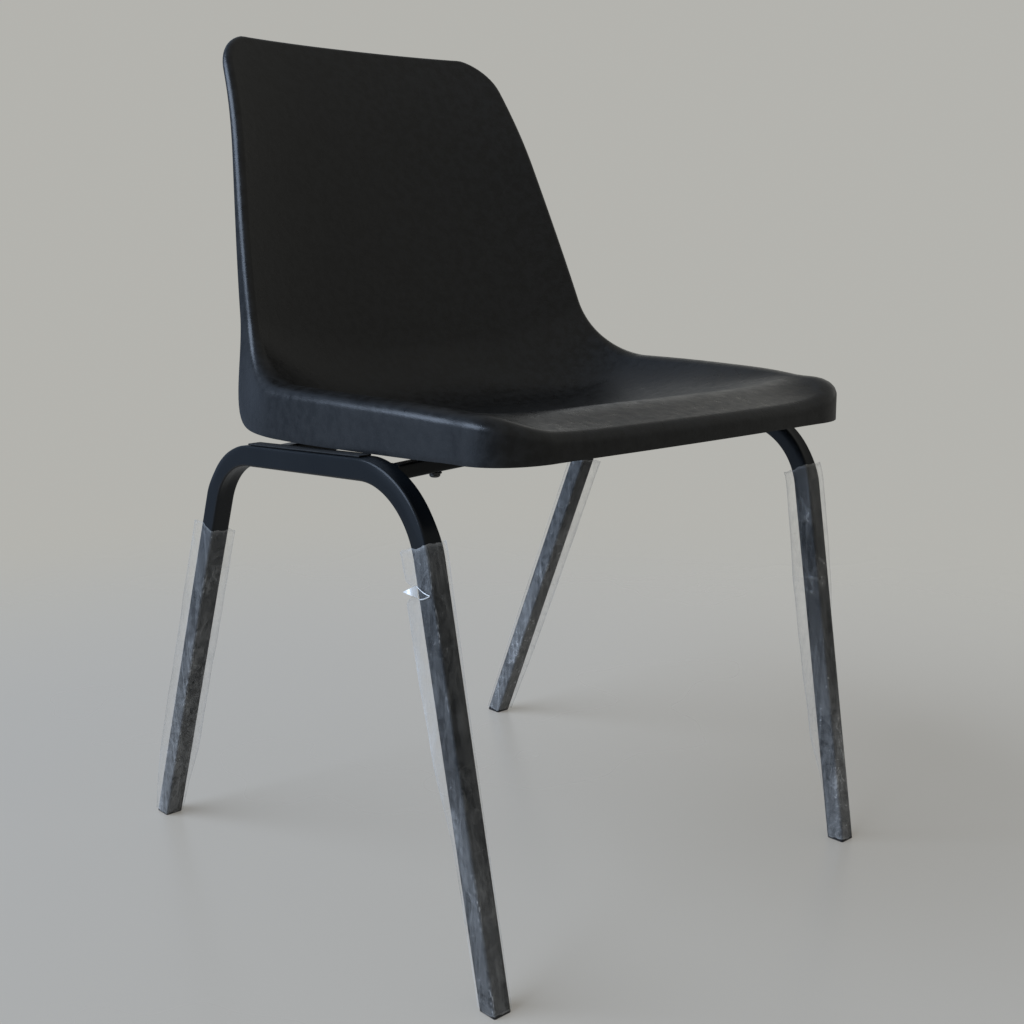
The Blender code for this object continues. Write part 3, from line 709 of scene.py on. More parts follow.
def circle(radius, z, x, y):
    angles = [tau * i / ROUND_STEPS for i in range(ROUND_STEPS)]
    return [Vector((x + radius * cos(angle), y + radius * sin(angle), z)) for angle in angles]


def rounded_square(side, corner, steps=CORNER_STEPS):
    """Closed outline of a square with rounded corners, with points along its flats too."""
    points = []
    inner = side / 2 - corner
    for quarter in range(4):
        middle = pi / 4 + quarter * pi / 2
        centre = Vector((copysign(inner, cos(middle)), copysign(inner, sin(middle))))
        for step in range(steps + 1):
            angle = middle + pi / 2 * (step / steps - 0.5)
            points.append(centre + corner * Vector((cos(angle), sin(angle))))
        start = points[-1]
        turn = middle + pi / 4
        flat = 2 * inner * Vector((-sin(turn), cos(turn)))
        points += [start + flat * step / steps for step in range(1, steps)]
    return points


def path_frames(path):
    """Each point of a path in a plane, with the direction along it and the one to its right."""
    last = len(path) - 1
    for i, point in enumerate(path):
        along = (path[min(i + 1, last)] - path[max(i - 1, 0)]).normalized()
        yield point, along, Vector((along.y, -along.x))


class SidePlane:
    """A side frame's leaning plane: across it, along Y and up it."""

    def __init__(self, side):
        self.sign = SIDES[side]
        self.lean = self.sign * SIDE_LEAN

    def world(self, across, point):
        x = self.sign * FOOT_HALF_TRACK + across * cos(self.lean) + point.y * sin(self.lean)
        return Vector((x, point.x, point.y * cos(self.lean) - across * sin(self.lean)))

    def direction(self, along):
        """A direction in the plane, given along Y and up, in the world."""
        return Vector((along.y * sin(self.lean), along.x, along.y * cos(self.lean)))

    def across(self, point):
        """How far a point of the world lies out of the plane."""
        x = point.x - self.sign * FOOT_HALF_TRACK
        return x * cos(self.lean) - point.z * sin(self.lean)


def to_height(point, direction, z):
    """The point moved along a direction to a height."""
    return point + direction * (z - point.z) / direction.z


# Materials

class Nodes:
    """Short ways to add shader nodes to a tree."""

    def __init__(self, tree):
        self.tree = tree

    def node(self, kind, inputs=None, **settings):
        node = self.tree.nodes.new(kind)
        for key, value in settings.items():
            setattr(node, key, value)
        for socket, value in (inputs or {}).items():
            if isinstance(value, bpy.types.NodeSocket):
                self.tree.links.new(value, node.inputs[socket])
            else:
                node.inputs[socket].default_value = value
        return node

    def ramp(self, factor, low, high, start=0.0, end=1.0, **settings):
        """Values from low to high as the factor goes from start to end."""
        inputs = {"Value": factor, "From Min": start, "From Max": end, "To Min": low, "To Max": high}
        return self.node("ShaderNodeMapRange", inputs, **settings).outputs["Result"]

    def math(self, operation, *values, **settings):
        inputs = dict(enumerate(values))
        return self.node("ShaderNodeMath", inputs, operation=operation, **settings).outputs["Value"]

    def sum(self, total, *others):
        for other in others:
            total = self.math("ADD", total, other)
        return total

    def product(self, first, second):
        return self.math("MULTIPLY", first, second)

    def blend(self, factor, first, second):
        """Colour from the first to the second, each a colour or a socket."""
        first, second = ((*colour, 1) if isinstance(colour, tuple) else colour for colour in (first, second))
        node = self.node("ShaderNodeMix", {"Factor": factor, "A": first, "B": second}, data_type="RGBA")
        return next(socket for socket in node.outputs if socket.type == "RGBA")


class Finish(Nodes):
    """A material with one Principled shader, and short ways to add the nodes that feed it."""

    def __init__(self, name, **constants):
        self.material = bpy.data.materials.new(name)
        self.material.use_nodes = True
        super().__init__(self.material.node_tree)
        self.shader = self.tree.nodes["Principled BSDF"]
        for socket, value in constants.items():
            self.shader.inputs[socket.replace("_", " ")].default_value = value
        self.place = self.node("ShaderNodeTexCoord").outputs["Object"]

    def stretched(self, scale):
        """Coordinates stretched by a factor for each axis."""
        return self.node("ShaderNodeMapping", {"Vector": self.place, "Scale": scale}).outputs["Vector"]

    def noise(self, scale, detail=2.0, roughness=0.5, distortion=0.0, place=None):
        inputs = {"Vector": place or self.place, "Scale": scale, "Detail": detail, "Roughness": roughness,
                  "Distortion": distortion}
        return self.node("ShaderNodeTexNoise", inputs).outputs["Fac"]

    def feed(self, socket, value):
        self.tree.links.new(value, self.shader.inputs[socket])

    def bump(self, height, distance, strength):
        node = self.node("ShaderNodeBump", {"Height": height, "Distance": distance, "Strength": strength})
        self.feed("Normal", node.outputs["Normal"])


def shell_plastic():
    """Black polypropylene with a fine moulded grain, mottled and a little uneven in its sheen."""
    finish = Finish("black_polypropylene", Specular_IOR_Level=0.40)
    broad = finish.noise(7.0, 3.0, 0.55)
    mottle = finish.noise(110.0, 3.0, 0.6)
    dust = finish.ramp(finish.noise(520.0, 2.0, 0.6), 0.0, 1.0, 0.68, 0.80)
    specks = finish.sum(finish.ramp(mottle, 0.0, 0.35, 0.38, 0.62), dust)
    finish.feed("Base Color", finish.blend(specks, (0.0040, 0.0040, 0.0041), (0.022, 0.022, 0.022)))
    sheen = finish.ramp(broad, 0.30, 0.36, 0.3, 0.7)
    finish.feed("Roughness", finish.sum(sheen, finish.ramp(mottle, -0.06, 0.06, 0.3, 0.7)))
    cells = finish.node("ShaderNodeTexVoronoi", {"Vector": finish.place, "Scale": 900.0}).outputs["Distance"]
    grain = finish.sum(finish.product(cells, 0.5), finish.noise(1500.0, 2.0), finish.product(mottle, 4.5))
    finish.bump(grain, 0.00016, 0.40)
    return finish.material


def frame_paint():
    """Charcoal powder coat, blue in its shade, with the orange peel of a sprayed coat."""
    finish = Finish("charcoal_powder_coat", Specular_IOR_Level=0.25)
    broad = finish.noise(14.0, 3.0)
    fine = finish.noise(1500.0, 2.0)
    finish.feed("Base Color", finish.blend(broad, (0.0030, 0.0044, 0.0060), (0.0042, 0.0060, 0.0080)))
    sheen = finish.ramp(broad, 0.27, 0.37, 0.3, 0.7)
    finish.feed("Roughness", finish.sum(sheen, finish.ramp(fine, -0.04, 0.04)))
    finish.bump(finish.sum(finish.noise(420.0, 2.0, 0.5), finish.product(fine, 0.3)), 0.00012, 0.4)
    return finish.material


def worn(name, clouds, share, colours, rough, grain, **constants):
    """A dark finish with clouds of (scale, detail, roughness) that turn pale over a share of their range and
    change its gloss, and with a grain of (scale, detail, depth, strength)."""
    finish = Finish(name, **constants)
    cloud = finish.noise(*clouds)
    finish.feed("Base Color", finish.blend(finish.ramp(cloud, 0.0, 1.0, *share), *colours))
    finish.feed("Roughness", finish.ramp(cloud, *rough))
    scale, detail, depth, strength = grain
    finish.bump(finish.noise(scale, detail), depth, strength)
    return finish.material


def clear_film():
    """Thin clear film: a mottled faint veil with painted glints, and painted highlights along its creases,
    seams and cut edges where light catches its folds; whiter too where it stands off the tube in blisters."""
    finish = Finish("clear_film", Base_Color=(0.84, 0.83, 0.81, 1), Specular_IOR_Level=1.0, IOR=1.7)
    # The first attribute carries painted highlights of creases, fin tips, cut ends and glints, and the torn
    # flap's pale tone
    crease, cling = (finish.node("ShaderNodeAttribute", attribute_name=name).outputs["Fac"]
                     for name in (WHITENESS_AND_GLINT, CLING))
    haze = finish.noise(105.0, 4.0, 0.6, 0.6)
    streak = finish.noise(60.0, 4.0, 0.6, 1.0, finish.stretched((2.0, 2.0, 0.16)))
    # Painted glints: sparse bright specks that raise the film's alpha
    glints = finish.ramp(finish.noise(260.0, 3.0, 0.6, 0.5), 0.0, 0.22, 0.65, 0.76)
    streaks = finish.ramp(streak, 0.0, 0.09, 0.45, 0.70)
    veil = finish.sum(finish.ramp(haze, 0.015, 0.085, 0.34, 0.66), streaks)
    lift = finish.noise(34.0, 2.0, 0.5, 0.9, finish.stretched((1.0, 1.0, 0.35)))
    from_edge = finish.math("ABSOLUTE", finish.sum(lift, -0.5))
    edges = finish.ramp(from_edge, 0.08, 0.0, 0.0, 0.014)
    blisters = finish.sum(finish.ramp(lift, 0.0, 0.05, 0.49, 0.53), edges)
    hazy = finish.product(finish.sum(veil, glints, 0.02), cling)
    lines = finish.product(blisters, finish.ramp(cling, 0.0, 0.8, 0.2, 1.0))
    finish.feed("Alpha", finish.sum(finish.product(crease, 0.45), finish.sum(hazy, lines)))
    finish.feed("Roughness", finish.ramp(haze, 0.14, 0.30, 0.3, 0.7))
    finish.bump(finish.sum(streak, finish.product(haze, 0.7)), 0.0010, 0.5)
    return finish.material


SHELL_PLASTIC = shell_plastic()
FRAME_PAINT = frame_paint()
FOOT_PLASTIC = worn("black_foot_plastic", (260.0, 4.0, 0.7), (0.52, 0.75),
                    ((0.008, 0.008, 0.009), (0.035, 0.035, 0.034)), (0.42, 0.7), (900.0, 2.0, 0.0002, 0.3))
PAD_RUBBER = worn("black_rubber", (160.0, 4.0, 0.65), (0.4, 0.7),
                  ((0.009, 0.009, 0.009), (0.020, 0.020, 0.019)), (0.65, 0.85), (1200.0, 3.0, 0.0002, 0.4),
                  Specular_IOR_Level=0.4)
BLACK_ZINC = worn("black_zinc_plate", (600.0, 4.0, 0.6), (0.45, 0.75),
                  ((0.035, 0.036, 0.038), (0.16, 0.16, 0.155)), (0.30, 0.45), (2400.0, 2.0, 0.00005, 0.3),
                  Metallic=1.0)
CLEAR_FILM = clear_film()


# Shell

def shell_mesh():
    """A grid of the sitting surface, then the rolled edge and skirt as rings round its border."""
    rows = shell_rows()
    spread = [sin(pi / 2 * mix(-1, 1, i / SHELL_COLUMNS)) for i in range(SHELL_COLUMNS + 1)]
    last_row = len(rows) - 1

    def build(work):
        grid = {}
        for j, along in enumerate(rows):
            for i, share in enumerate(spread):
                grid[i, j] = work.verts.new(surface(share * outline_half_width(along), along))
        for j in range(last_row):
            for i in range(SHELL_COLUMNS):
                work.faces.new((grid[i, j], grid[i + 1, j], grid[i + 1, j + 1], grid[i, j + 1]))
        border = [(i, 0) for i in range(SHELL_COLUMNS)]
        border += [(SHELL_COLUMNS, j) for j in range(last_row)]
        border += [(i, last_row) for i in range(SHELL_COLUMNS, 0, -1)]
        border += [(0, j) for j in range(last_row, 0, -1)]
        columns = []
        for k, (i, j) in enumerate(border):
            point = grid[i, j].co
            before = point - grid[border[k - 1]].co
            after = grid[border[(k + 1) % len(border)]].co - point
            tangent = before / before.length_squared + after / after.length_squared
            normal = surface_normal(point.x, rows[j])
            places = edge_rings(point, tangent, normal, RIM.value_at(rows[j]))
            columns.append([grid[i, j]] + [work.verts.new(place) for place in places])
        for left, right in zip(columns, columns[1:] + columns[:1]):
            for k in range(len(left) - 1):
                work.faces.new((left[k], left[k + 1], right[k + 1], right[k]))
    return mesh_from("shell_moulding", build)


def boss_place(end, side):
    return SIDES[side] * BOSS_HALF_TRACK, CROSS_PLACES[end][0]


def boss_foot(end):
    """Height of a boss's lower face, just clear of the bowed cross rail."""
    return cross_z(end, BOSS_HALF_TRACK - BOSS_RADIUS) + CROSS_TUBE / 2 + GAP


def boss_mesh(end, side):
    """Round boss with a screw hole below and a fillet where it runs into the shell's wall."""
    x, y = boss_place(end, side)
    low = boss_foot(end)
    loops = [circle(SCREW_HOLE, low + BOSS_HOLE_DEPTH, x, y), circle(SCREW_HOLE, low, x, y),
             circle(BOSS_RADIUS - LIP_ROUND / 2, low, x, y), circle(BOSS_RADIUS, low + LIP_ROUND / 2, x, y)]
    rings = [(out * BOSS_FILLET, SHELL_WALL + down * BOSS_FILLET) for out, down in FILLET_SECTION]
    for out, below in rings + [(BOSS_FILLET, SHELL_WALL / 2)]:
        ring = circle(BOSS_RADIUS + out, 0.0, x, y)
        for point in ring:
            point.z = seat_z(point.x, point.y) - below
        loops.append(ring)
    return lofted(f"boss_{end}_{side}", loops, caps=True)


def rib_mesh(end, side, angle):
    """Thin web from a boss out along the underside of the shell, tapering to nothing."""
    x, y = boss_place(end, side)
    out = Vector((cos(angle), sin(angle)))
    aside = Vector((-out.y, out.x)) * RIB_THICKNESS / 2
    low = boss_foot(end) + LIP_ROUND
    loops = []
    for step in range(RIB_STEPS + 1):
        share = step / RIB_STEPS
        middle = Vector((x, y)) + out * mix(BOSS_RADIUS * 0.8, BOSS_RADIUS + RIB_LENGTH, share)
        top = seat_z(middle.x, middle.y) - SHELL_WALL / 2
        bottom = mix(low, top - SHELL_WALL / 2, share**RIB_POWER)
        corners = [(middle - aside, bottom), (middle + aside, bottom), (middle + aside * RIB_DRAFT, top),
                   (middle - aside * RIB_DRAFT, top)]
        loops.append([Vector((*place, z)) for place, z in corners])
    return lofted(f"rib_{end}_{side}", loops, caps=True)


def add_shell():
    shell = add_piece(shell_mesh(), SHELL_PLASTIC, "shell", "seat_shell")
    solidify = shell.modifiers.new("wall", "SOLIDIFY")
    solidify.thickness = SHELL_WALL
    solidify.offset = -1
    solidify.use_even_offset = True
    bevel = shell.modifiers.new("lip", "BEVEL")
    bevel.width = LIP_ROUND
    bevel.segments = LIP_STEPS
    bevel.limit_method = "ANGLE"
    bevel.angle_limit = LIP_ANGLE
    apply_modifiers(shell)
    joined = []
    for end in ENDS:
        for side in SIDES:
            joined.append(boss_mesh(end, side))
            inwards = pi if SIDES[side] > 0 else 0.0
            joined += [rib_mesh(end, side, angle) for angle in (inwards, pi / 2, -pi / 2)]
    cut(shell, joined, "UNION")


# Frame

def bend_weight(v):
    """How much a bent tube is out of its true section: most in the middle of the bend."""
    return ease(1.0, 1.3, v) * (1 - ease(1.7, 2.0, v))


def bent_section(section, weight):
    """A tube's section in a bend, towards +Y: the inner face dented and rippled, the outer one sunk."""
    half = max(point.y for point in section)
    bent = []
    for across, deep in section:
        middle = 1 - (across / half) ** 2
        inner = ease(0, half, deep)
        outer = ease(0, half, -deep)
        ripple = BEND_RIPPLE * cos(BEND_RIPPLES * pi * across / half)
        deep -= weight * inner * middle * (BEND_DENT + ripple)
        deep += weight * outer * BEND_SINK * mix(BEND_EDGE_SINK, 1, middle)
        across *= 1 + weight * (BEND_BULGE / half * (1 - (deep / half) ** 2) - BEND_TAPER * outer**2)
        bent.append(Vector((across, deep)))
    return bent


def side_path():
    """Centreline of a side frame from its front foot over to its rear foot, with the weight of the bends."""
    front, rear = BENDS["front"], BENDS["rear"]
    values = [1 + step / BEND_STEPS for step in range(BEND_STEPS + 1)]
    path = [(front.at(step / RUN_STEPS), 0.0) for step in range(RUN_STEPS)]
    path += [(front.at(v), bend_weight(v)) for v in values]
    rail = [front.arc_end.lerp(rear.arc_end, step / RUN_STEPS) for step in range(1, RUN_STEPS)]
    path += [(point, 0.0) for point in rail]
    path += [(rear.at(v), bend_weight(v)) for v in reversed(values)]
    path += [(rear.at(step / RUN_STEPS), 0.0) for step in reversed(range(RUN_STEPS))]
    return path


def add_side_tube(side):
    plane = SidePlane(side)
    path = side_path()
    walls = []
    for wall in (0.0, TUBE_WALL):
        section = rounded_square(TUBE - 2 * wall, TUBE_CORNER - wall)
        loops = []
        for (point, along, inside), (_, weight) in zip(path_frames([p for p, _ in path]), path):
            bent = bent_section(section, weight)
            loop = [plane.world(across, point + inside * deep) for across, deep in bent]
            loops.append((loop, plane.direction(along)))
        for loop, along in (loops[0], loops[-1]):
            loop[:] = [to_height(point, along, SOLE_THICKNESS + GAP) for point in loop]
        walls.append([loop for loop, _ in loops])
    outer, inner = walls
    mesh = lofted("side_tube_" + side, outer + inner[::-1], closed=True)
    add_piece(mesh, FRAME_PAINT, "frame", "side_frame_" + side)


def to_inner_face(point, along, side):
    """The point moved along a direction to the inner face of a side frame."""
    plane = SidePlane(side)
    target = -plane.sign * (TUBE / 2 + GAP)
    step = along.x * cos(plane.lean) - along.z * sin(plane.lean)
    return point + along * (target - plane.across(point)) / step


def cross_loops(end, wall):
    """The loops of a cross rail's section inside a wall, trimmed to the side frames' inner faces."""
    section = rounded_square(CROSS_TUBE - 2 * wall, CROSS_CORNER - wall, CROSS_CORNER_STEPS)
    reach = cross_half_length(end) - TUBE / 2
    xs = [mix(-reach, reach, step / CROSS_STEPS) for step in range(CROSS_STEPS + 1)]
    y = CROSS_PLACES[end][0]
    path = [Vector((x, cross_z(end, x))) for x in xs]
    loops = []
    for i, (point, along, below) in enumerate(path_frames(path)):
        loop = [Vector((point.x + below.x * deep, y + across, point.y + below.y * deep))
                for across, deep in section]
        if i in (0, CROSS_STEPS):
            side = "right" if i == 0 else "left"
            way = Vector((along.x, 0, along.y))
            loop = [to_inner_face(place, way, side) for place in loop]
        loops.append(loop)
    return loops


def add_cross_tube(end):
    loops = cross_loops(end, 0.0) + cross_loops(end, CROSS_WALL)[::-1]
    mesh = lofted("cross_tube_" + end, loops, closed=True)
    rail = add_piece(mesh, FRAME_PAINT, "frame", "cross_rail_" + end)
    holes = []
    for side in SIDES:
        x, y = boss_place(end, side)
        middle = cross_z(end, x)
        loops = [circle(SCREW_HOLE, z, x, y) for z in (middle - CROSS_TUBE, middle + CROSS_TUBE)]
        holes.append(lofted("hole", loops, caps=True))
    cut(rail, holes)


def add_weld(end, side):
    """Rippled fillet all round a cross rail where it meets a side frame."""
    section = rounded_square(CROSS_TUBE, CROSS_CORNER, WELD_CORNER_STEPS)
    y, z = CROSS_PLACES[end]
    sign = SIDES[side]
    lean = SidePlane(side).lean
    inward = Vector((-sign * cos(lean), 0, sign * sin(lean)))
    start = to_inner_face(Vector((sign * (cross_half_length(end) - TUBE / 2), y, z)), inward, side)
    loops = []
    for i, (across, deep) in enumerate(section):
        around = i / len(section)
        out = Vector((0, across, deep)).normalized()
        ripple = WELD_RIPPLE * sin(tau * WELD_RIPPLES * around)
        leg = WELD_LEG * (1 + ripple + WELD_UNEVENNESS * uneven(around * 9, y * 40, sign))
        base = start + Vector((0, across, deep)) - inward * GAP
        sink = base - out * CROSS_WALL / 2
        loop = [sink]
        for step in range(WELD_STEPS + 1):
            angle = pi / 2 * step / WELD_STEPS
            bulge = 1 - WELD_HOLLOW * sin(2 * angle)
            loop.append(base + (out * cos(angle) + inward * sin(angle)) * leg * bulge)
        loop.append(sink + inward * leg * WELD_BURIED)
        loops.append(loop)
    add_piece(lofted(f"weld_{end}_{side}", loops, closed=True), FRAME_PAINT, "frame")


# Feet and fasteners

def add_foot(end, side):
    """Plastic insert: a chamfered sole as wide as the tube, cut level, and a ribbed plug up the tube."""
    tilt = SIDES[side] * tan(SIDE_LEAN)
    bend = BENDS[end]
    axis = (bend.arc_start - bend.start).normalized()
    bore = TUBE - 2 * TUBE_WALL - 2 * PLUG_CLEARANCE
    plug_corner = TUBE_CORNER - TUBE_WALL
    rings = [
        (TUBE - 2 * SOLE_CHAMFER, TUBE_CORNER - SOLE_CHAMFER, 0.0),
        (TUBE, TUBE_CORNER, SOLE_CHAMFER),
        (TUBE, TUBE_CORNER, SOLE_THICKNESS),
        (bore, plug_corner, SOLE_THICKNESS),
    ]
    for rib in range(PLUG_RIBS):
        low, high = (mix(SOLE_THICKNESS, PLUG_LENGTH, (rib + share) / PLUG_RIBS)
                     for share in PLUG_RIB_SHARES)
        rings += [(bore - 2 * PLUG_RIB, plug_corner, low), (bore, plug_corner, high)]
    rings.append((bore - 2 * SOLE_CHAMFER, plug_corner, PLUG_LENGTH))
    loops = []
    for width, corner, z in rings:
        loops.append([Vector((SIDES[side] * FOOT_HALF_TRACK + z * tilt + across,
                              bend.start.x + z * axis.x / axis.y + along / axis.y, z))
                      for across, along in rounded_square(width, corner)])
    mesh = lofted(f"foot_insert_{end}_{side}", loops, caps=True)
    add_piece(mesh, FOOT_PLASTIC, "foot", f"foot_{end}_{side}")


def turned(name, profile, x, y, closed=False):
    """Turned piece from a profile of (radius, height), round a vertical axis."""
    loops = [circle(radius, z, x, y) for radius, z in profile]
    return lofted(name, loops, closed=closed, caps=not closed)


def recess_mesh(x, y, low, turn):
    """One bar of a cross recess, narrower at its bottom."""
    loops = []
    for rise, length, width in RECESS:
        corners = ((-length, -width), (length, -width), (length, width), (-length, width))
        loops.append([Vector((x + a * cos(turn) - b * sin(turn),
                              y + a * sin(turn) + b * cos(turn), low + rise)) for a, b in corners])
    return lofted("recess", loops, caps=True)


def add_fastener(end, side):
    """Pan head screw with its washer, under the cross rail."""
    x, y = boss_place(end, side)
    tilt = 2 * CROSS_RISE * abs(x) / cross_half_length(end) ** 2
    washer_top = cross_z(end, x) - CROSS_TUBE / 2 - tilt * WASHER_RADIUS - GAP
    washer_low = washer_top - WASHER_THICKNESS
    head_top = washer_low - GAP
    tip = boss_foot(end) + SCREW_BITE
    edge = WASHER_THICKNESS / 5
    rim = WASHER_RADIUS
    washer = [(SCREW_HOLE, washer_top), (rim - edge, washer_top), (rim, washer_top - edge),
              (rim, washer_low + edge), (rim - edge, washer_low), (SCREW_HOLE, washer_low)]
    mesh = turned(f"washer_{end}_{side}", washer, x, y, closed=True)
    add_piece(mesh, BLACK_ZINC, "zinc", f"seat_washer_{end}_{side}")
    profile = [(SCREW_RADIUS * wide, tip - SCREW_RADIUS * below) for wide, below in SCREW_POINT]
    for thread in range(THREADS):
        crest, root = (mix(tip - SCREW_RADIUS, head_top, (thread + share) / THREADS) for share in (0.5, 1))
        profile += [(SCREW_RADIUS, crest), (SCREW_RADIUS * THREAD_ROOT, root)]
    profile.append((SCREW_HEAD_RADIUS, head_top))
    for step in range(HEAD_STEPS + 1):
        angle = pi / 2 * step / HEAD_STEPS
        profile.append((SCREW_HEAD_RADIUS * mix(HEAD_FLAT, 1, cos(angle)),
                        head_top - SCREW_HEAD_HEIGHT * mix(HEAD_SIDE, 1, sin(angle))))
    mesh = turned(f"screw_{end}_{side}", profile, x, y)
    screw = add_piece(mesh, BLACK_ZINC, "zinc", f"seat_screw_{end}_{side}")
    head_low = head_top - SCREW_HEAD_HEIGHT
    cut(screw, [recess_mesh(x, y, head_low, turn) for turn in (RECESS_TURN, RECESS_TURN + pi / 2)])


# Film sleeves

def fin_side(root, middle, way, width, wave):
    """Points of one layer of a fin, from just past its root to its tip."""
    points = []
    aside = Vector((-way.y, way.x))
    spread = (root - middle).dot(aside)
    for step in range(1, FIN_STEPS + 1):
        out = step / FIN_STEPS
        apart = spread * (1 - out) ** 3 + copysign(FIN_MOUTH, spread) * sin(pi * out)
        points.append(middle + way * width * out + aside * (apart + wave * out * out))
    return points


def film_outline(first_fin, second_fin):
    """Outline of a sleeve as (point, direction out, looseness), from the tip of its first fin round. A fin
    is given by its width and wave."""
    half = TUBE / 2 + FILM_GAP
    turn = half - FILM_CORNER
    root = half - FIN_ROOT
    middle = Vector((FIN_ROOT / 2 - half, half - FIN_ROOT / 2))
    way = Vector((-1, 1)).normalized()
    outline = []

    def add_layer(points):
        outline.extend((point, Vector((0, 0)), 0.0) for point in points)

    def add_face(start, end, out):
        for step in range(FACE_STEPS + 1):
            share = step / FACE_STEPS
            outline.append((start.lerp(end, share), out, 4 * share * (1 - share)))

    for sign, fin, next_fin in ((1, first_fin, second_fin), (-1, second_fin, first_fin)):
        layer = fin_side(sign * Vector((-half, root)), sign * middle, sign * way, *fin)
        add_layer(reversed(layer if sign > 0 else layer[:-1]))
        add_face(sign * Vector((-half, root)), sign * Vector((-half, -turn)), sign * Vector((-1, 0)))
        for step in range(1, CORNER_STEPS):
            angle = pi / 2 * step / CORNER_STEPS
            out = -sign * Vector((cos(angle), sin(angle)))
            outline.append((-sign * Vector((turn, turn)) + out * FILM_CORNER, out, CORNER_LOOSENESS))
        add_face(sign * Vector((-turn, -half)), sign * Vector((root, -half)), sign * Vector((0, -1)))
        layer = fin_side(sign * Vector((root, -half)), -sign * middle, -sign * way, *next_fin)
        add_layer(layer if sign > 0 else layer[:-1])
    return outline


def tip_distances(i, count):
    """Steps round the outline from its point i to the tips of its two fins."""
    second = FIN_STEPS + 2 * FACE_STEPS + 2 + CORNER_STEPS - 1 + FIN_STEPS - 1
    return min(i, count - i), i - second


def wrinkle(place, along, seed):
    """How sharp the film's creases are, from 0 to 1, and how slack it is, round the leg and along it."""
    slack = 0.5 + 0.5 * uneven(place * 160, along * 14, seed)
    fold = 1 - abs(uneven(place * 90 + along * 40, along * 60, seed + 5.3))
    fine = 1 - abs(uneven(place * 240 - along * 60, along * 150, seed + 8.1))
    here = ease(0.52, 0.80, 0.5 + 0.5 * uneven(place * 45, along * 24, seed + 1.7))
    return min(1.0, here * (fold**14 + 0.6 * fine**10)), slack


def tear_grids(spot):
    """Grids of the flap torn out of a sleeve's first fin, and of the folds that it pulls over the next face.
    The spot function gives the point at a distance across the tube, to its inner side and up."""
    half = TUBE / 2 + FILM_GAP
    flap = []
    for step in range(TEAR_STEPS + 1):
        out = step / TEAR_STEPS
        reach = half + TEAR_LENGTH * out / sqrt(2)
        high = mix(TEAR_ROOT[0], TEAR_TIP[0], out)
        low = mix(TEAR_ROOT[1], TEAR_TIP[1], out**0.8)
        flap.append([])
        for column in range(TEAR_COLUMNS + 1):
            share = column / TEAR_COLUMNS
            bent = TEAR_TWIST * share * (1 - out) + TEAR_BELLY * sin(pi * out)
            flap[-1].append(spot(-reach - bent, reach - FIN_ROOT / 2 - bent, mix(high, low, share)))

    def fold(start, sag):
        rows = []
        for step in range(FOLD_STEPS + 1):
            share = step / FOLD_STEPS
            deep = mix(half - FIN_ROOT, FOLD_END - half, share)
            lift = mix(start, FOLDS_MEET, share) + sag * sin(pi * share)
            rows.append([spot(-half - FOLD_PROUD - ridge, deep, lift + rise)
                         for rise, ridge in ((-FOLD_RIDGE, 0.0), (0.0, FOLD_RIDGE), (FOLD_RIDGE, 0.0))])
        return rows

    return [flap] + [fold(start, sag) for start, sag in TEAR_FOLDS]


def set_film(mesh, creases, clings):
    """Store how much painted highlight or pale tone each point of the film has, and how hazy it lies."""
    for layer, values in ((WHITENESS_AND_GLINT, creases), (CLING, clings)):
        mesh.attributes.new(layer, "FLOAT", "POINT").data.foreach_set("value", values)


def film_rows(end, side):
    """Centre, direction up the leg and direction to its inner side of a sleeve's rows, and its length."""
    bend, top = BENDS[end], SLEEVE_TOPS[end, side]

    def centre(distance):
        return bend.at(bend.value_at(distance))

    lengths = (step / FILM_STEPS_PER_METRE for step in range(FILM_STEPS_PER_METRE))
    last = next(length for length in lengths if centre(length).y >= top)
    near = 1 / FILM_STEPS_PER_METRE
    rows = []
    for row in range(SLEEVE_ROWS + 1):
        distance = last * row / SLEEVE_ROWS
        along = (centre(distance + near) - centre(max(0.0, distance - near))).normalized()
        rows.append((centre(distance), along, Vector((along.y, -along.x))))
    return rows, last


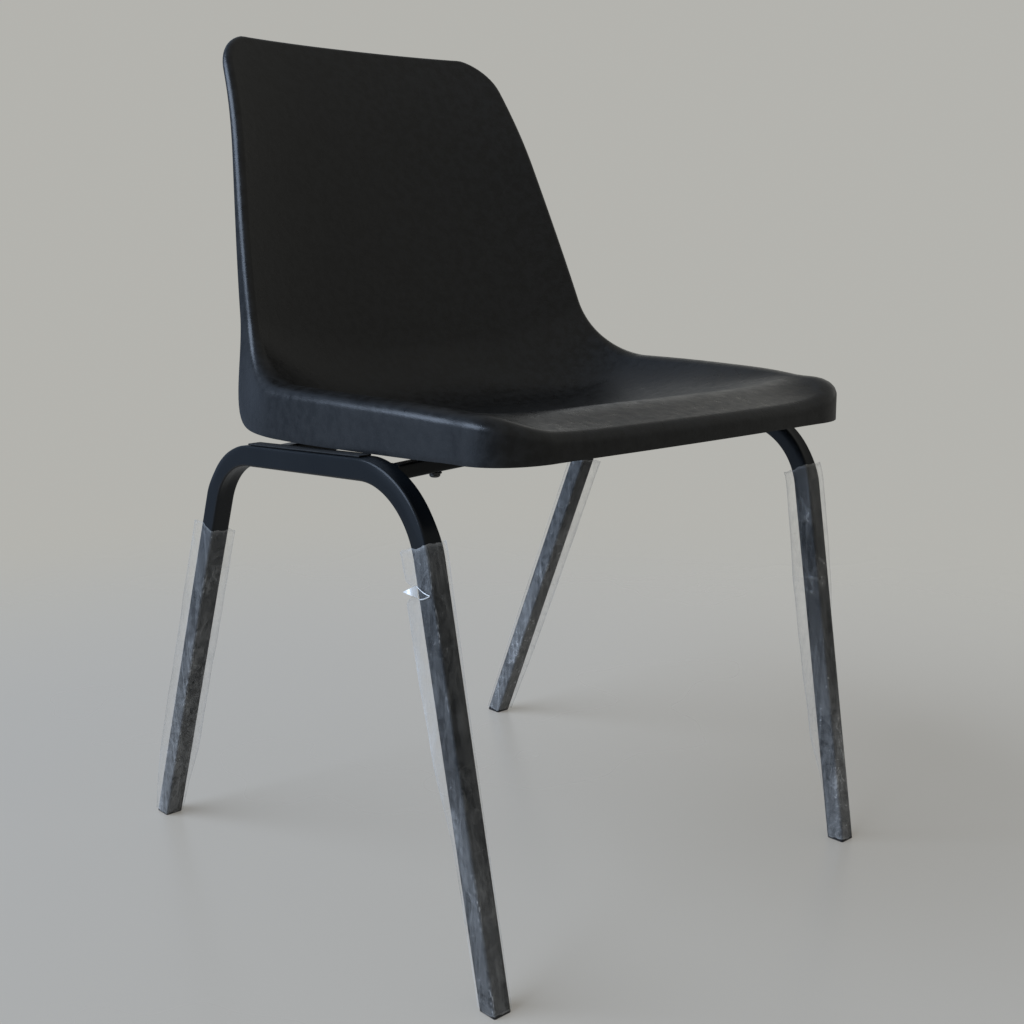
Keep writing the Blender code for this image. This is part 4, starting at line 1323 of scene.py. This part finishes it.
def add_sleeve(end, side):
    """Film round a leg with two fins and ragged ends, its painted highlights and its haze, with painted
    light low down, stored for its material.
    """
    plane = SidePlane(side)
    rows, length = film_rows(end, side)
    seed = 3.7 * (SIDES[side] + 2) + (11.9 if end == "rear" else 0.0)
    loops, creases, clings = [], [], []
    for row, (centre, along, inside) in enumerate(rows):
        share = row / SLEEVE_ROWS
        fins = []
        for k, widths in enumerate(FIN_WIDTHS[end, side], 1):
            width = smooth_line(widths, share) * (1 + FIN_FLUTTER * uneven(share * 9, seed, k))
            ripple = FIN_RIPPLE * uneven(share * 19, seed + 4, k)
            fins.append((width, FIN_WAVE * uneven(share * 5, seed + 2, k) + ripple))
        outline = film_outline(*fins)
        # Painted light: the haze is mostly thicker low on the leg, where the legs are lit brighter
        haze = smooth_line(HAZE_WITH_PAINTED_LIGHT[end, side], share)
        # Painted highlight at the cut ends, near the sleeve's foot and top
        at_end = max(ease(*HIGHLIGHT_TOP, share), 1 - ease(*HIGHLIGHT_FOOT, share))
        up = plane.direction(along)
        loop = []
        for i, (place, out, loose) in enumerate(outline):
            around = i / len(outline)
            nick = uneven(around * 7, seed, 9.1) + 0.6 * uneven(around * 23, seed, 4.4)
            crease, slack = wrinkle(2 * around * SLEEVE_FLAT_WIDTH, length * share, seed)
            crease *= CREASES[end, side]
            height = loose * (SLACK_HEIGHT * slack + CREASE_HEIGHT * crease)
            across, deep = place + out * height
            point = plane.world(across, centre + inside * deep)
            point += up * TOP_NICK * nick * ease(*RAGGED_TOP, share)
            lowest = SLEEVE_LIFT + FOOT_NICK * max(0.0, 0.5 + nick)
            if row < SLEEVE_ROWS // 10:
                point += up * max(0.0, lowest - point.z) / up.z
            loop.append(point)
            on_fin = out.length == 0
            at_tip = max(exp(-abs(steps) / TIP_STEPS) for steps in tip_distances(i, len(outline)))
            at_corner = 2 * abs(out.x * out.y)
            # Painted glints: bright specks clustered along the sleeve's corners
            cluster = ease(0.0, 0.35, uneven(length * share * 26, seed + 3, around * 9))
            glint = at_corner * cluster * ease(0.1, 0.5, uneven(length * share * 210, seed + 6, i))
            # Painted highlights: paler along creases, at fin tips and cut ends, where light catches the
            # film's folds and edges
            edge_and_crease_highlight = crease * (FIN_CREASE_HIGHLIGHT if on_fin else FACE_CREASE_HIGHLIGHT) + END_HIGHLIGHT * at_end
            creases.append(min(1.0, edge_and_crease_highlight + TIP_HIGHLIGHT * at_tip + GLINT_WHITENESS * glint))
            clings.append(FIN_HAZE if on_fin else haze)
        loops.append(loop)
    mesh = lofted(f"film_sleeve_{end}_{side}", loops)
    set_film(mesh, creases, clings)
    sleeve = add_piece(mesh, CLEAR_FILM, "film", f"leg_sleeve_{end}_{side}")


def add_tear(end, side):
    """The torn bit of a sleeve."""
    plane = SidePlane(side)
    rows, _ = film_rows(end, side)
    centre, along, inside = rows[round(TEAR_SHARE * SLEEVE_ROWS)]
    up = plane.direction(along)
    grids = tear_grids(lambda across, deep, lift: plane.world(across, centre + inside * deep) + up * lift)

    def build(work):
        for grid in grids:
            rows = [[work.verts.new(point) for point in row] for row in grid]
            for lower, upper in zip(rows, rows[1:]):
                for i in range(len(lower) - 1):
                    work.faces.new((lower[i], lower[i + 1], upper[i + 1], upper[i]))

    mesh = mesh_from(f"film_tear_{end}_{side}", build)
    count = len(mesh.vertices)
    set_film(mesh, [TEAR_WHITENESS] * count, [0.0] * count)
    tear = add_piece(mesh, CLEAR_FILM, "film")


# Stage

def add_floor():
    """Pale floor that fades into the background away from the chair."""
    work = bmesh.new()
    bmesh.ops.create_circle(work, cap_ends=True, segments=96, radius=FLOOR_RADIUS)
    mesh = bpy.data.meshes.new("floor")
    work.to_mesh(mesh)
    work.free()
    finish = Finish("pale_floor", Specular_IOR_Level=0.5, Emission_Color=(1.0, 0.97, 0.90, 1))
    cloud = finish.noise(1.6, 3.0, 0.5)
    finish.feed("Base Color", finish.blend(cloud, (0.365, 0.328, 0.278), (0.383, 0.345, 0.293)))
    finish.feed("Roughness", finish.ramp(cloud, 0.24, 0.32))
    away = finish.node("ShaderNodeVectorMath", {0: finish.place}, operation="LENGTH").outputs["Value"]
    finish.feed("Alpha", finish.ramp(away, 1.0, 0.0, *FLOOR_FADE, interpolation_type="SMOOTHSTEP"))
    path = finish.node("ShaderNodeLightPath").outputs
    seen = finish.sum(path["Is Camera Ray"], path["Is Glossy Ray"], path["Is Transmission Ray"])
    finish.feed("Emission Strength", finish.product(seen, FLOOR_LIFT))
    mesh.materials.append(finish.material)
    add_object("floor", mesh)


def camera_left():
    return Vector((-cos(CAMERA_YAW), sin(CAMERA_YAW), 0))


def window_way():
    """Level direction to the window."""
    turn = CAMERA_YAW - pi / 2 - WINDOW_TURN
    return Vector((sin(turn), cos(turn), 0))


def add_world():
    """An even pale backdrop for the camera. The chair is lit by a room that is darker low down and overhead,
    and bluish on the camera's left."""
    world = bpy.data.worlds.new("studio")
    world.use_nodes = True
    nodes = Nodes(world.node_tree)
    background = nodes.tree.nodes["Background"].inputs
    way = nodes.node("ShaderNodeTexCoord").outputs["Generated"]
    axes = nodes.node("ShaderNodeSeparateXYZ", {0: way}).outputs
    seen = nodes.node("ShaderNodeLightPath").outputs["Is Camera Ray"]

    def towards(direction, span):
        dot = nodes.node("ShaderNodeVectorMath", {0: way, 1: direction}, operation="DOT_PRODUCT")
        return nodes.ramp(dot.outputs["Value"], 0.0, 1.0, *span)

    front = nodes.ramp(axes["Z"], LOW_FRONT, HIGH_FRONT, *FRONT_RANGE)
    wall = nodes.ramp(axes["Z"], LOW_REAR, REAR_LIGHT, *WALL_RANGE)
    rear = nodes.ramp(axes["Z"], wall, CEILING_SHADE, *CEILING_RANGE)
    light = nodes.ramp(axes["Y"], front, rear, *FRONT_TO_REAR)
    left = towards(camera_left(), LEFT_RANGE)
    left_colour = nodes.blend(towards(window_way(), WINDOW_RANGE), LEFT_SHADE, LEFT_LIGHT)
    unseen_left = nodes.math("SUBTRACT", left, seen, use_clamp=True)
    strength = nodes.ramp(seen, nodes.ramp(left, light, 1.0), 1.0)
    nodes.tree.links.new(strength, background["Strength"])
    nodes.tree.links.new(nodes.blend(unseen_left, BACKDROP, left_colour), background["Color"])
    bpy.context.scene.world = world


def aim(obj, way):
    """Points a lamp or camera along a direction."""
    obj.rotation_mode = "QUATERNION"
    obj.rotation_quaternion = way.to_track_quat("-Z", "Y")


def add_window():
    data = bpy.data.lights.new("window", "AREA")
    data.shape = "RECTANGLE"
    data.size, data.size_y = WINDOW_SIZE
    data.energy = WINDOW_POWER
    data.color = WINDOW_COLOUR
    lamp = add_object("window", data)
    lamp.location = WINDOW_DISTANCE * window_way() + Vector((0, 0, WINDOW_HEIGHT))
    lamp.visible_camera = False
    aim(lamp, Vector(WINDOW_AIM) - lamp.location)


def add_camera():
    data = bpy.data.cameras.new("camera")
    data.lens = CAMERA_LENS
    data.sensor_width = CAMERA_SENSOR
    data.shift_y = CAMERA_SHIFT_Y
    camera = add_object("camera", data)
    camera.location = CAMERA_PLACE
    level = cos(CAMERA_PITCH)
    aim(camera, Vector((sin(CAMERA_YAW) * level, cos(CAMERA_YAW) * level, sin(CAMERA_PITCH))))
    bpy.context.scene.camera = camera


def finish_pads():
    """The rails' rubber pads keep their solids."""
    for side in SIDES:
        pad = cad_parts["rail_pad_" + side]
        pad.data.materials.clear()
        pad.data.materials.append(PAD_RUBBER)


bpy.context.scene.view_settings.view_transform = "Standard"
add_floor()
add_world()
add_window()
add_camera()
add_shell()
finish_pads()
for side in SIDES:
    add_side_tube(side)
for end in ENDS:
    add_cross_tube(end)
    for side in SIDES:
        add_weld(end, side)
        add_foot(end, side)
        add_fastener(end, side)
        add_sleeve(end, side)
add_tear(*TORN_SLEEVE)
